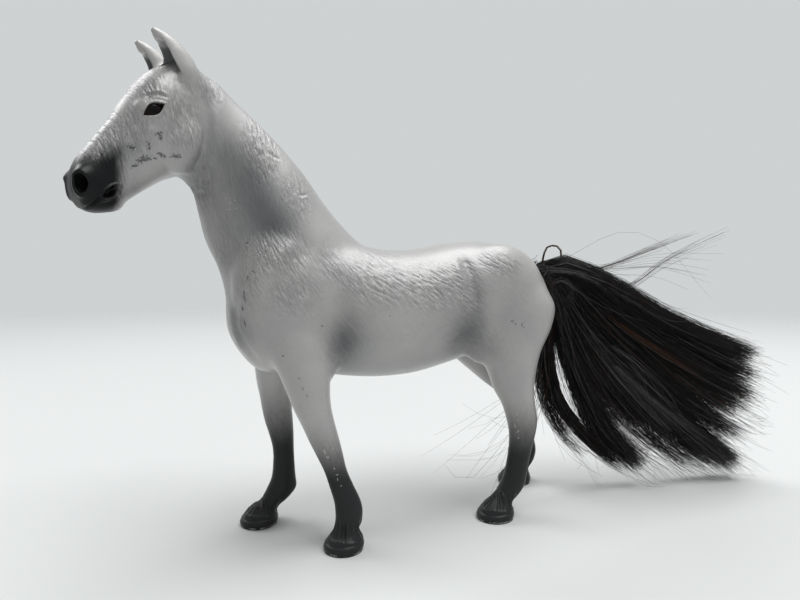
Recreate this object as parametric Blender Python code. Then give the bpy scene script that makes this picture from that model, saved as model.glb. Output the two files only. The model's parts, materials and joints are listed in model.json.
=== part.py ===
# A moulded toy horse with a tail of loose hair, in metres, +Z up, facing -X.
# Two hollow half shells make the head, neck and trunk. Four solid legs are pegged into them, and
# the tail is a hank of hair bound to a plug in the dock. The origin is on the ground, in the middle
# of the whole figure.
import math

import bmesh
import bpy
import numpy as np
from mathutils import Matrix, Vector

MM = 0.001

# Driving sizes of the animal
STANCE_LENGTH = 100 * MM  # from the middle of the fore hooves to the middle of the hind hooves
SHOULDER_HEIGHT = 100 * MM  # point of the shoulder above the ground
BODY_WIDTH = 50 * MM  # across the barrel
NECK_LENGTH = 50 * MM  # along the throat, from breast to throat latch
NECK_WIDTH = 20 * MM  # across the neck behind the jaw
FACE_LENGTH = 50 * MM  # from the forelock to the nostrils
FACE_WIDTH = 25 * MM  # across the eyes
EAR_LENGTH = 20.4 * MM
EAR_WIDTH = 10 * MM
EAR_WALL = 1.6 * MM
LEG_WIDTH = 10 * MM  # a limb at the knee
HOOF_LENGTH = 16.6 * MM
HOOF_WIDTH = 16 * MM
HOOF_HEIGHT = 7.4 * MM
TAIL_LENGTH = 120 * MM  # from the dock to the longest tips, as the hair hangs
TAIL_DEPTH = 12 * MM  # thickness of the fan of hair across its middle

# Sizes of the moulding
SHELL_WALL = 2.4 * MM
SEAM_GAP = 0.3 * MM
JOINT_GAP = 0.3 * MM
SURFACE_CELL = 1.25 * MM  # finest step that the moulded surface follows
HAIR_CELL = 1.5 * MM
PIN_RADIUS = 1.3 * MM
PIN_LENGTH = 3.2 * MM  # how far a locating pin stands past the seam
PIN_CLEARANCE = 0.25 * MM
BOSS_WALL = 1.7 * MM  # plastic round a pin, socket or peg
PEG_DEPTH = 8 * MM
PEG_LENGTH = 7 * MM  # along the animal
PEG_WIDTH = 5 * MM
PEG_CLEARANCE = 0.3 * MM
DOCK_RADIUS = 3.4 * MM  # bore of the hole that the tail is pressed into
DOCK_DEPTH = 11 * MM
PLUG_TAPER = 0.5 * MM
PEG_EASE = 0.6 * MM  # chamfer of a peg
PIN_TAPER_SHARE = 0.8
KNOT_RADIUS = 3 * MM  # gathered root of the hair
STEM_RADIUS = 1.9 * MM  # end of the plug that the hair is bound to
STEM_LENGTH = 2.5 * MM
BINDING_TURNS = 3
BINDING_THREAD = 0.7 * MM
THREAD_VALLEY = 0.6  # how much of the thread's thickness stays between two turns
OVERRUN = 5 * MM  # how far a cut runs past what it cuts
ZONE_REACH = 0.8  # how far a leg's zone reaches from the middle, in body widths

# Pose
HEAD_TURN = math.radians(22)  # the head looks to the animal's own left, towards -Y
TAIL_TURN = math.radians(13)  # the tail is carried to the same side
LEG_CUT_TILT = math.radians(19)  # the joint of a leg rises outwards
DOCK_RISE = math.radians(25)  # the dock hole points back and a little up
EAR_LEAN = math.radians(38)  # forwards from upright
EAR_FACING = math.radians(28)  # the hollow looks forwards and this much outwards
TAIL_SWAY = math.radians(30)  # room for the hair to sway round its knot

# How finely the surfaces are made
RING_POINTS = 28
ROW_STEPS = 3
ROD_SIDES = 16
BORE_SIDES = 24
POST_SIDES = 12
BINDING_SIDES = 20
BALL_ROWS = 10
JOINT_TRIES = 4
FORM_FACES = 4700  # triangles of the moulded form
TAIL_FACES = 1700
SMOOTH_FACTOR = 0.5
SURFACE_SMOOTHING = 3
MUSCLE_SMOOTHING = 22
TRUNK_POWER = 0.95  # a little squarer than an ellipse
BLEND_RISE_SHARES = (0.645, 0.785)  # muscles are blended fully above the second height
BLEND_FADE = 4
HEAD_BLEND = 0.12

# Rows of the trunk, from rump to breast: place along the stance, top, bottom, half width and the
# share of the depth at which it is widest
TRUNK_SHARES = (
    (0.663, 1.01, 0.84, 0.10, 0.55),
    (0.65, 1.055, 0.79, 0.20, 0.55),
    (0.62, 1.115, 0.725, 0.31, 0.55),
    (0.55, 1.165, 0.69, 0.39, 0.55),
    (0.45, 1.21, 0.70, 0.445, 0.55),
    (0.31, 1.232, 0.72, 0.46, 0.55),
    (0.16, 1.22, 0.685, 0.45, 0.52),
    (0.00, 1.19, 0.652, 0.47, 0.50),
    (-0.15, 1.19, 0.645, 0.48, 0.48),
    (-0.28, 1.215, 0.655, 0.46, 0.46),
    (-0.42, 1.255, 0.675, 0.42, 0.44),
    (-0.55, 1.245, 0.685, 0.40, 0.42),
    (-0.66, 1.175, 0.705, 0.36, 0.42),
    (-0.735, 1.085, 0.785, 0.27, 0.45),
    (-0.775, 1.005, 0.865, 0.15, 0.5),
)

# Rows of the neck from its root: crest place and height, throat place and height, half width, the
# share from throat to crest at which it is widest, and how square the section is
NECK_SHARES = (
    (0.88, 0.08, 0.00, -0.84, 1.00, 0.45, 1.0),
    (0.68, 0.22, -0.24, -0.68, 1.00, 0.45, 1.0),
    (0.53, 0.36, -0.37, -0.44, 0.92, 0.42, 1.0),
    (0.376, 0.54, -0.40, -0.20, 0.82, 0.42, 1.0),
    (0.236, 0.74, -0.45, 0.00, 0.70, 0.42, 1.0),
    (0.072, 0.932, -0.53, 0.19, 0.60, 0.42, 1.0),
    (-0.112, 1.12, -0.604, 0.364, 0.54, 0.45, 1.0),
    (-0.30, 1.292, -0.68, 0.54, 0.51, 0.45, 1.0),
    (-0.452, 1.416, -0.74, 0.636, 0.50, 0.5, 1.0),
    (-0.586, 1.464, -0.77, 0.684, 0.48, 0.5, 1.0),
    (-0.71, 1.45, -0.80, 0.73, 0.42, 0.5, 1.0),
)

# Rows of the head from the poll, in the same order, from the throat latch
HEAD_SHARES = (
    (0.14, 0.81, 0.00, 0.00, 0.41, 0.5, 1.0),
    (0.01, 0.816, -0.03, -0.01, 0.45, 0.5, 0.95),
    (-0.13, 0.76, -0.08, -0.03, 0.48, 0.55, 0.9),
    (-0.25, 0.66, -0.15, -0.06, 0.50, 0.6, 0.85),
    (-0.344, 0.548, -0.22, -0.104, 0.46, 0.58, 0.85),
    (-0.416, 0.428, -0.28, -0.144, 0.39, 0.5, 0.85),
    (-0.48, 0.318, -0.33, -0.18, 0.34, 0.48, 0.85),
    (-0.544, 0.228, -0.37, -0.21, 0.31, 0.46, 0.85),
    (-0.618, 0.126, -0.41, -0.244, 0.30, 0.5, 0.85),
    (-0.682, 0.038, -0.45, -0.28, 0.315, 0.52, 0.85),
    (-0.718, -0.054, -0.51, -0.304, 0.31, 0.52, 0.9),
    (-0.728, -0.134, -0.59, -0.312, 0.27, 0.5, 0.95),
    (-0.72, -0.188, -0.66, -0.292, 0.18, 0.5, 1.0),
)

# Rows of each leg: height, place along the stance, distance from the middle, half depth and half
# width
LEG_SHARES = {
    "front_left_leg": (
        (0.865, -0.54, 0.26, 1.30, 0.80),
        (0.765, -0.52, 0.28, 1.15, 0.85),
        (0.695, -0.505, 0.30, 0.97, 0.80),
        (0.625, -0.4925, 0.31, 0.815, 0.70),
        (0.565, -0.479, 0.32, 0.72, 0.62),
        (0.505, -0.4585, 0.326, 0.645, 0.56),
        (0.442, -0.437, 0.332, 0.59, 0.54),
        (0.387, -0.4175, 0.336, 0.525, 0.49),
        (0.321, -0.395, 0.34, 0.45, 0.41),
        (0.255, -0.371, 0.342, 0.48, 0.39),
        (0.19, -0.347, 0.344, 0.53, 0.43),
        (0.14, -0.34, 0.346, 0.55, 0.48),
        (0.10, -0.345, 0.348, 0.51, 0.46),
        (0.075, -0.356, 0.348, 0.47, 0.46),
        (0.04, -0.362, 0.348, 0.55, 0.55),
    ),
    "front_right_leg": (
        (0.865, -0.56, 0.26, 1.30, 0.80),
        (0.765, -0.56, 0.28, 1.10, 0.85),
        (0.695, -0.565, 0.30, 0.90, 0.80),
        (0.625, -0.569, 0.316, 0.76, 0.70),
        (0.565, -0.565, 0.326, 0.68, 0.62),
        (0.505, -0.559, 0.336, 0.64, 0.55),
        (0.442, -0.55, 0.344, 0.60, 0.53),
        (0.387, -0.54, 0.35, 0.53, 0.47),
        (0.321, -0.532, 0.354, 0.46, 0.41),
        (0.255, -0.53, 0.358, 0.47, 0.40),
        (0.19, -0.532, 0.36, 0.53, 0.43),
        (0.14, -0.542, 0.362, 0.66, 0.48),
        (0.10, -0.57, 0.364, 0.58, 0.46),
        (0.075, -0.60, 0.366, 0.52, 0.46),
        (0.04, -0.63, 0.366, 0.55, 0.55),
    ),
    "hind_left_leg": (
        (1.025, 0.48, 0.22, 1.80, 1.15),
        (0.925, 0.47, 0.24, 2.00, 1.20),
        (0.825, 0.435, 0.27, 2.00, 1.10),
        (0.745, 0.41, 0.30, 1.68, 0.98),
        (0.665, 0.423, 0.316, 1.22, 0.86),
        (0.575, 0.433, 0.324, 0.98, 0.72),
        (0.505, 0.456, 0.328, 0.80, 0.60),
        (0.432, 0.476, 0.33, 0.74, 0.56),
        (0.377, 0.48, 0.33, 0.66, 0.50),
        (0.321, 0.474, 0.33, 0.59, 0.45),
        (0.245, 0.458, 0.33, 0.54, 0.42),
        (0.18, 0.444, 0.33, 0.56, 0.44),
        (0.13, 0.424, 0.33, 0.62, 0.48),
        (0.10, 0.398, 0.33, 0.57, 0.47),
        (0.075, 0.372, 0.33, 0.52, 0.47),
        (0.04, 0.353, 0.33, 0.55, 0.55),
    ),
    "hind_right_leg": (
        (1.025, 0.49, 0.22, 1.80, 1.15),
        (0.925, 0.49, 0.24, 2.00, 1.20),
        (0.825, 0.47, 0.27, 1.95, 1.10),
        (0.745, 0.45, 0.30, 1.90, 0.98),
        (0.675, 0.47, 0.31, 1.65, 0.86),
        (0.612, 0.508, 0.314, 1.28, 0.75),
        (0.54, 0.57, 0.316, 1.00, 0.65),
        (0.475, 0.635, 0.316, 0.78, 0.58),
        (0.422, 0.67, 0.316, 0.72, 0.55),
        (0.355, 0.695, 0.316, 0.62, 0.48),
        (0.288, 0.71, 0.316, 0.54, 0.43),
        (0.223, 0.722, 0.316, 0.51, 0.42),
        (0.16, 0.728, 0.316, 0.56, 0.46),
        (0.12, 0.72, 0.316, 0.56, 0.46),
        (0.09, 0.70, 0.316, 0.52, 0.46),
        (0.07, 0.685, 0.316, 0.50, 0.46),
        (0.04, 0.67, 0.316, 0.55, 0.55),
    ),
}
LEG_SIDES = {
    "front_left_leg": -1,
    "front_right_leg": 1,
    "hind_left_leg": -1,
    "hind_right_leg": 1,
}

# Each hoof: place along the stance, distance from the middle and its own length
HOOF_PLACE_SHARES = {
    "front_left_leg": (-0.362, 0.348, 1.0),
    "front_right_leg": (-0.638, 0.366, 1.0),
    "hind_left_leg": (0.342, 0.33, 1.05),
    "hind_right_leg": (0.66, 0.316, 1.05),
}

# The joint of each leg with its shell: height in the middle of the animal, then where it starts and
# ends along the stance, at its top and at the ground
JOINT_SHARES = {
    "front_left_leg": (0.65, -0.64, -0.36, -0.72, -0.24),
    "front_right_leg": (0.65, -0.70, -0.43, -0.80, -0.36),
    "hind_left_leg": (0.605, 0.18, 0.66, 0.16, 0.66),
    "hind_right_leg": (0.605, 0.26, 0.76, 0.36, 0.88),
}

HEEL_SHARE = 0.94  # a hoof's heel against its toe
# Profile of a hoof: height, half size, and how far its middle lies back of the sole's
HOOF_SHARES = (
    (0.96, 0.52, 0.16),
    (0.76, 0.76, 0.12),
    (0.54, 0.90, 0.08),
    (0.34, 0.99, 0.04),
    (0.21, 1.03, 0.0),
    (0.18, 0.97, 0.0),
    (-0.30, 0.96, 0.0),
)

# Sections of an ear from its root to its tip: place along it, half depth, half thickness and how
# far its middle lies back
EAR_SHARES = (
    (-0.24, 1.16, 0.86, 0.20),
    (0.09, 1.18, 0.82, 0.24),
    (0.33, 1.14, 0.72, 0.28),
    (0.57, 0.88, 0.58, 0.38),
    (0.775, 0.56, 0.40, 0.36),
    (0.90, 0.34, 0.24, 0.22),
    (0.965, 0.18, 0.14, 0.14),
    (1.00, 0.07, 0.07, 0.10),
)
EAR_ROOT_SHARES = (0.0, 0.62, 0.30)  # place and height from the throat latch, distance from the middle
# The hollow of an ear: place along it and how much of the ear's width it takes
EAR_HOLLOW_SHARES = (
    (0.14, 0.50),
    (0.28, 0.74),
    (0.42, 0.86),
    (0.56, 0.88),
    (0.69, 0.80),
    (0.80, 0.64),
    (0.90, 0.42),
)
EAR_HOLLOW_REACH = 0.8  # how far forward in the ear its hollow lies

# Muscles that stand out on both sides: place along the stance, distance from the middle, height,
# three radii, and the tilt forwards in degrees
MUSCLE_SHARES = {
    "shoulder": (-0.56, 0.21, 1.00, 0.20, 0.215, 0.27, -25),
    "breast": (-0.66, 0.15, 0.895, 0.11, 0.19, 0.14, 0),
    "elbow": (-0.47, 0.27, 0.77, 0.11, 0.13, 0.13, 0),
    "hip": (0.37, 0.21, 1.02, 0.24, 0.25, 0.20, 0),
    "buttock": (0.485, 0.18, 0.91, 0.16, 0.25, 0.22, 15),
    "stifle": (0.295, 0.28, 0.83, 0.125, 0.155, 0.145, 0),
}

# Bones of the head on both sides, from the throat latch: place, height, distance from the middle
# and three radii
BONE_SHARES = {
    "jowl": (-0.07, 0.235, 0.26, 0.20, 0.24, 0.25),
    "orbit": (-0.26, 0.362, 0.335, 0.12, 0.165, 0.112),
    "nostril": (-0.64, -0.09, 0.18, 0.085, 0.14, 0.08),
}
CHIN_SHARES = (-0.51, -0.24, 0.11, 0.19, 0.062)  # place, height and three radii

# Ways of the locks from the knot, from the top of the fan round to the front: five places each,
# along the fan and up, as shares of the tail
LOCK_WAY_SHARES = (
    ((0.11, 0.03), (0.31, -0.06), (0.54, -0.175), (0.81, -0.285), (1.045, -0.385)),
    ((0.10, 0.01), (0.31, -0.12), (0.55, -0.26), (0.81, -0.39), (1.055, -0.495)),
    ((0.09, -0.01), (0.30, -0.18), (0.55, -0.36), (0.80, -0.50), (1.04, -0.62)),
    ((0.085, -0.03), (0.28, -0.23), (0.53, -0.44), (0.79, -0.62), (1.01, -0.745)),
    ((0.08, -0.05), (0.26, -0.28), (0.52, -0.53), (0.78, -0.75), (0.975, -0.88)),
    ((0.075, -0.07), (0.24, -0.32), (0.47, -0.57), (0.70, -0.76), (0.87, -0.87)),
    ((0.07, -0.08), (0.21, -0.37), (0.41, -0.61), (0.61, -0.78), (0.78, -0.87)),
    ((0.065, -0.09), (0.18, -0.40), (0.33, -0.63), (0.48, -0.77), (0.60, -0.85)),
    ((0.06, -0.10), (0.15, -0.38), (0.26, -0.62), (0.38, -0.76), (0.47, -0.84)),
    ((0.055, -0.11), (0.115, -0.37), (0.20, -0.60), (0.31, -0.73), (0.40, -0.81)),
    ((0.047, -0.125), (0.045, -0.37), (0.10, -0.55), (0.25, -0.72), (0.41, -0.82)),
)
# How far each lock lies across the fan, as a share of its thickness, and its own thickness
LOCK_SIZE_SHARES = (
    (0.10, 0.95),
    (-0.28, 1.0),
    (0.32, 1.0),
    (-0.36, 1.0),
    (0.20, 1.0),
    (-0.15, 0.9),
    (0.33, 0.8),
    (-0.25, 0.75),
    (0.08, 0.9),
    (-0.20, 0.75),
    (0.05, 0.45),
)
LOCK_RADIUS_SHARES = ((0.0, 0.5), (0.12, 0.75), (0.35, 1.0), (0.7, 1.0), (0.9, 0.8), (1.0, 0.35))
LOCK_RADIUS = 5.2 * MM
LOCK_SIDES = 8
LOCK_STEPS = 3

# Places of the locating pins on the seam, along the stance and in height
PIN_SHARES = ((-0.62, 1.045), (-0.16, 0.745), (0.20, 1.125), (0.52, 0.825), (-0.66, 1.385))

ROOT_PLACE = Vector((-0.58 * STANCE_LENGTH, 0, 1.105 * SHOULDER_HEIGHT))
LATCH_PLACE = ROOT_PLACE + Vector((-0.71 * NECK_LENGTH, 0, 0.68 * NECK_LENGTH))
DOCK_PLACE = Vector((0.63 * STANCE_LENGTH, 0, 1.06 * SHOULDER_HEIGHT))
DOCK_AXIS = Vector((math.cos(DOCK_RISE), 0, math.sin(DOCK_RISE)))
KNOT_PLACE = DOCK_PLACE + DOCK_AXIS * (STEM_LENGTH + JOINT_GAP + KNOT_RADIUS)

# The neck turns about this slanted line. Everything past its end turns by the whole angle.
TURN_DIRECTION = Vector((-0.94, 0, 0.342)).normalized()
TURN_START_SHARE = 0.16
TURN_END_SHARE = 1.0
TURN_STEPS = 48
SEAM_CUTS = 9  # cuts across the flat seam, so that it can follow the turn

MOVING_PIECES = ("tail_root_hair", "tail_hair")
SHARP_ANGLE = math.radians(40)

# Colour and roughness of each piece
FINISHES = {
    "left_body_shell": ((0.47, 0.465, 0.455), 0.42),
    "right_body_shell": ((0.47, 0.465, 0.455), 0.42),
    "front_left_leg": ((0.13, 0.13, 0.13), 0.5),
    "front_right_leg": ((0.13, 0.13, 0.13), 0.5),
    "hind_left_leg": ((0.13, 0.13, 0.13), 0.5),
    "hind_right_leg": ((0.13, 0.13, 0.13), 0.5),
    "tail_plug": ((0.03, 0.03, 0.03), 0.5),
    "tail_binding": ((0.05, 0.045, 0.04), 0.8),
    "tail_root_hair": ((0.012, 0.011, 0.011), 0.45),
    "tail_hair": ((0.012, 0.011, 0.011), 0.4),
}

ALONG = Vector((1, 0, 0))
ACROSS = Vector((0, 1, 0))
UPWARD = Vector((0, 0, 1))


def clear_scene():
    for item in list(bpy.data.objects):
        bpy.data.objects.remove(item, do_unlink=True)


def plastic(name, colour, roughness):
    material = bpy.data.materials.new(name)
    material.use_nodes = True
    shader = material.node_tree.nodes["Principled BSDF"]
    shader.inputs["Base Color"].default_value = (*colour, 1)
    shader.inputs["Roughness"].default_value = roughness
    return material


def signed_power(value, power):
    return math.copysign(abs(value) ** power, value)


def section(centre, up, side, above, below, half_width, power=1.0):
    """Points of one rounded section, starting at its top."""
    points = []
    for step in range(RING_POINTS):
        angle = 2 * math.pi * step / RING_POINTS
        rise = signed_power(math.cos(angle), power)
        reach = above if rise > 0 else below
        sideways = signed_power(math.sin(angle), power) * half_width
        points.append(centre + up * (rise * reach) + side * sideways)
    return points


def smoothed(rows, steps=ROW_STEPS):
    """More rows between the given ones, on a smooth curve through them."""
    rows = np.array(rows, float)
    padded = np.vstack([2 * rows[0] - rows[1], rows, 2 * rows[-1] - rows[-2]])
    result = []
    for k in range(len(rows) - 1):
        a, b, c, d = padded[k : k + 4]
        for step in range(steps):
            t = step / steps
            linear = (c - a) * t
            square = (2 * a - 5 * b + 4 * c - d) * t**2
            cube = (3 * b - a - 3 * c + d) * t**3
            result.append((2 * b + linear + square + cube) / 2)
    result.append(rows[-1])
    return result


def loft(mesh, rings):
    """A closed skin through the rings, added to the mesh."""
    loops = [[mesh.verts.new(point) for point in ring] for ring in rings]
    for first, second in zip(loops, loops[1:]):
        for k in range(len(first)):
            n = (k + 1) % len(first)
            mesh.faces.new((first[k], first[n], second[n], second[k]))
    mesh.faces.new(list(reversed(loops[0])))
    mesh.faces.new(loops[-1])


def finished(name, mesh):
    """An object of the mesh, with its faces pointing outwards."""
    bmesh.ops.recalc_face_normals(mesh, faces=mesh.faces)
    data = bpy.data.meshes.new(name)
    mesh.to_mesh(data)
    mesh.free()
    item = bpy.data.objects.new(name, data)
    bpy.context.collection.objects.link(item)
    return item


def lofted(name, rings):
    mesh = bmesh.new()
    loft(mesh, rings)
    return finished(name, mesh)


def trunk_rings(inset=0.0):
    rings = []
    for x, top, bottom, half, widest in smoothed(TRUNK_SHARES):
        low = bottom * SHOULDER_HEIGHT + inset
        high = top * SHOULDER_HEIGHT - inset
        middle = low + widest * (high - low)
        centre = Vector((x * STANCE_LENGTH, 0, middle))
        width = half * BODY_WIDTH - inset
        rings.append(section(centre, UPWARD, ACROSS, high - middle, middle - low, width, TRUNK_POWER))
    return rings


def paired_rings(rows, place, length, width, inset=0.0):
    """Rings between a line of upper points and a line of lower points."""
    rings = []
    for row in smoothed(rows):
        upper = place + Vector((row[0], 0, row[1])) * length
        lower = place + Vector((row[2], 0, row[3])) * length
        depth = (upper - lower).length
        up = (upper - lower).normalized()
        centre = lower + up * (depth * row[5])
        above = depth * (1 - row[5]) - inset
        below = depth * row[5] - inset
        rings.append(section(centre, up, ACROSS, above, below, row[4] * width - inset, row[6]))
    return rings


def neck_rings(inset=0.0):
    return paired_rings(NECK_SHARES, ROOT_PLACE, NECK_LENGTH, NECK_WIDTH, inset)


def head_rings(inset=0.0):
    return paired_rings(HEAD_SHARES, LATCH_PLACE, FACE_LENGTH, FACE_WIDTH, inset)


def leg_rings(name):
    rings = []
    for z, x, y, depth, half in smoothed(LEG_SHARES[name]):
        place = (x * STANCE_LENGTH, LEG_SIDES[name] * y * BODY_WIDTH, z * SHOULDER_HEIGHT)
        reach = depth * LEG_WIDTH
        rings.append(section(Vector(place), -ALONG, ACROSS, reach, reach, half * LEG_WIDTH))
    return rings


def add_ellipsoid(mesh, centre, radii, tilt=0.0):
    turn = Matrix.Rotation(tilt, 4, "Y")
    shape = Matrix.Translation(centre) @ turn @ Matrix.Diagonal((*radii, 1))
    bmesh.ops.create_icosphere(mesh, subdivisions=3, radius=1, matrix=shape)


def head_place(x, y, z):
    return LATCH_PLACE + Vector((x * FACE_LENGTH, y * FACE_WIDTH, z * FACE_LENGTH))


def use(item, kind, **settings):
    """Adds a modifier to the item and applies it."""
    modifier = item.modifiers.new(kind, kind)
    for key, value in settings.items():
        setattr(modifier, key, value)
    view = bpy.context.evaluated_depsgraph_get()
    applied = bpy.data.meshes.new_from_object(item.evaluated_get(view))
    item.modifiers.clear()
    old = item.data
    item.data = applied
    bpy.data.meshes.remove(old)


def cut(item, tool, operation="DIFFERENCE"):
    """Cuts the tool out of the item, or joins it, and removes the tool."""
    bpy.context.view_layer.update()
    use(item, "BOOLEAN", object=tool, operation=operation, solver="EXACT")
    bpy.data.objects.remove(tool, do_unlink=True)


def copy_of(item, name):
    twin = bpy.data.objects.new(name, item.data.copy())
    bpy.context.collection.objects.link(twin)
    return twin


def triangle_count(item):
    item.data.calc_loop_triangles()
    return len(item.data.loop_triangles)


def block(name, centre, size):
    mesh = bmesh.new()
    bmesh.ops.create_cube(mesh, size=1)
    bmesh.ops.scale(mesh, vec=size, verts=mesh.verts)
    bmesh.ops.translate(mesh, vec=centre, verts=mesh.verts)
    return finished(name, mesh)


def rod(name, start, end, radius, end_radius=None, sides=ROD_SIDES):
    """A straight round bar from start to end."""
    axis = end - start
    mesh = bmesh.new()
    bmesh.ops.create_cone(
        mesh,
        cap_ends=True,
        segments=sides,
        radius1=radius,
        radius2=radius if end_radius is None else end_radius,
        depth=axis.length,
    )
    turn = axis.to_track_quat("Z", "Y").to_matrix()
    bmesh.ops.rotate(mesh, cent=(0, 0, 0), matrix=turn, verts=mesh.verts)
    bmesh.ops.translate(mesh, vec=(start + end) / 2, verts=mesh.verts)
    return finished(name, mesh)


def ball(name, centre, radius):
    mesh = bmesh.new()
    bmesh.ops.create_uvsphere(mesh, u_segments=ROD_SIDES, v_segments=BALL_ROWS, radius=radius)
    bmesh.ops.translate(mesh, vec=centre, verts=mesh.verts)
    return finished(name, mesh)


def moulded_form():
    """The whole animal without ears, hooves and tail, as one closed skin."""
    mesh = bmesh.new()
    loft(mesh, trunk_rings())
    loft(mesh, neck_rings())
    loft(mesh, head_rings())
    for name in LEG_SHARES:
        loft(mesh, leg_rings(name))
    for side in (-1, 1):
        for x, y, z, rx, ry, rz, tilt in MUSCLE_SHARES.values():
            centre = (x * STANCE_LENGTH, side * y * BODY_WIDTH, z * SHOULDER_HEIGHT)
            radii = (rx * STANCE_LENGTH, ry * BODY_WIDTH, rz * SHOULDER_HEIGHT)
            add_ellipsoid(mesh, centre, radii, math.radians(tilt))
        for x, z, y, rx, ry, rz in BONE_SHARES.values():
            radii = (rx * FACE_LENGTH, ry * FACE_WIDTH, rz * FACE_LENGTH)
            add_ellipsoid(mesh, head_place(x, side * y, z), radii)
    x, z, rx, ry, rz = CHIN_SHARES
    add_ellipsoid(mesh, head_place(x, 0, z), (rx * FACE_LENGTH, ry * FACE_WIDTH, rz * FACE_LENGTH))
    form = finished("form", mesh)
    use(form, "REMESH", mode="VOXEL", voxel_size=SURFACE_CELL)
    use(form, "SMOOTH", factor=SMOOTH_FACTOR, iterations=SURFACE_SMOOTHING)
    blend_muscles(form)
    return form


def blend_muscles(form):
    """Rounds the muscles of trunk and neck into each other, and leaves limbs and head crisp."""
    group = form.vertex_groups.new(name="blend")
    low, high = (share * SHOULDER_HEIGHT for share in BLEND_RISE_SHARES)
    for vertex in form.data.vertices:
        rise = (vertex.co.z - low) / (high - low)
        ahead = (vertex.co - LATCH_PLACE).dot(TURN_DIRECTION) / FACE_LENGTH
        behind = min(max(-ahead * BLEND_FADE, HEAD_BLEND), 1)
        group.add([vertex.index], min(max(rise, 0), 1) * behind, "REPLACE")
    use(form, "SMOOTH", factor=SMOOTH_FACTOR, iterations=MUSCLE_SMOOTHING, vertex_group="blend")


def ear_frame(side):
    """Root, direction, forward and outward directions of an ear."""
    x, z, y = EAR_ROOT_SHARES
    along = Vector((-math.sin(EAR_LEAN), 0, math.cos(EAR_LEAN)))
    ahead = Vector((-math.cos(EAR_LEAN), 0, -math.sin(EAR_LEAN)))
    return head_place(x, side * y, z), along, ahead, ACROSS * side


def ear_solid(side):
    root, along, ahead, out = ear_frame(side)
    rings = []
    for t, depth, thick, back in smoothed(EAR_SHARES, 2):
        reach = depth * EAR_WIDTH / 2
        centre = root + along * (t * EAR_LENGTH) - ahead * (back * EAR_WIDTH / 2)
        rings.append(section(centre, ahead, out, reach, reach, thick * EAR_WIDTH / 2)[::2])
    return lofted("ear", rings)


def ear_hollow(side):
    """The hollow of an ear, open towards the front and outwards."""
    root, along, ahead, out = ear_frame(side)
    facing = ahead * math.cos(EAR_FACING) + out * math.sin(EAR_FACING)
    sideways = along.cross(facing)
    places, depths, thicks, backs = zip(*EAR_SHARES)
    rings = []
    for t, swell in EAR_HOLLOW_SHARES:
        half_depth = np.interp(t, places, depths) * EAR_WIDTH / 2
        half_width = np.interp(t, places, thicks) * EAR_WIDTH / 2
        deep = max(half_depth - EAR_WALL / 2, EAR_WALL / 3) * swell
        wide = max(half_width - EAR_WALL / 2, EAR_WALL / 4) * swell
        back = np.interp(t, places, backs) * EAR_WIDTH / 2
        centre = root + along * (t * EAR_LENGTH) - ahead * back
        centre += facing * (half_depth * EAR_HOLLOW_REACH)
        rings.append(section(centre, facing, sideways, deep, deep, wide)[::3])
    return lofted("ear_hollow", rings)


def hoof_solid(name):
    x, y, length = HOOF_PLACE_SHARES[name]
    middle = Vector((x * STANCE_LENGTH, LEG_SIDES[name] * y * BODY_WIDTH, 0))
    rings = []
    for z, size, back in HOOF_SHARES:
        centre = middle + Vector((back * HOOF_LENGTH / 2, 0, z * HOOF_HEIGHT))
        long = size * length * HOOF_LENGTH / 2
        rings.append(section(centre, -ALONG, ACROSS, long, long * HEEL_SHARE, size * HOOF_WIDTH / 2))
    return lofted("hoof", rings)


def outer_form():
    """The moulded form with ears and hooves, thinned to the faces that it needs, soles flat."""
    form = moulded_form()
    use(form, "DECIMATE", ratio=FORM_FACES / triangle_count(form))
    for side in (-1, 1):
        cut(form, ear_solid(side), "UNION")
        cut(form, ear_hollow(side))
    for name in LEG_SIDES:
        cut(form, hoof_solid(name), "UNION")
    wide = Vector((6 * STANCE_LENGTH, 6 * BODY_WIDTH, OVERRUN))
    cut(form, block("ground", Vector((0, 0, -OVERRUN / 2)), wide))
    return form


def leg_zone(name, gap):
    """Everything below the slanted joint of one leg, on that leg's side of the animal."""
    height, top_front, top_rear, low_front, low_rear = JOINT_SHARES[name]
    inner = SEAM_GAP / 2
    outer = BODY_WIDTH * ZONE_REACH
    top = height * SHOULDER_HEIGHT + gap / math.cos(LEG_CUT_TILT)
    rise = math.tan(LEG_CUT_TILT) * (outer - inner)
    rings = []
    for top_x, low_x in ((top_front, low_front), (top_rear, low_rear)):
        low = low_x * STANCE_LENGTH
        high = top_x * STANCE_LENGTH
        corners = ((low, inner, -OVERRUN), (low, outer, -OVERRUN))
        corners += ((high, outer, top + rise), (high, inner, top))
        rings.append([Vector((x, LEG_SIDES[name] * y, z)) for x, y, z in corners])
    return lofted("zone", rings)


def leg_joint(name):
    """Where the middle of a leg meets its slanted joint."""
    rows = sorted(LEG_SHARES[name])
    heights = [row[0] for row in rows]
    z = JOINT_SHARES[name][0]
    for _ in range(JOINT_TRIES):
        x = np.interp(z, heights, [row[1] for row in rows])
        y = np.interp(z, heights, [row[2] for row in rows])
        z = JOINT_SHARES[name][0] + y * BODY_WIDTH * math.tan(LEG_CUT_TILT) / SHOULDER_HEIGHT
    return Vector((x * STANCE_LENGTH, LEG_SIDES[name] * y * BODY_WIDTH, z * SHOULDER_HEIGHT))


def peg_block(name, margin, depth):
    """The peg of a leg, grown by a margin: its socket, or the plastic round that."""
    middle = leg_joint(name)
    low = middle.z - PEG_WIDTH
    high = middle.z + depth
    size = Vector((PEG_LENGTH + 2 * margin, PEG_WIDTH + 2 * margin, high - low))
    return block("peg", Vector((middle.x, middle.y, (low + high) / 2)), size)


def pin_places():
    return [Vector((x * STANCE_LENGTH, 0, z * SHOULDER_HEIGHT)) for x, z in PIN_SHARES]


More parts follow.
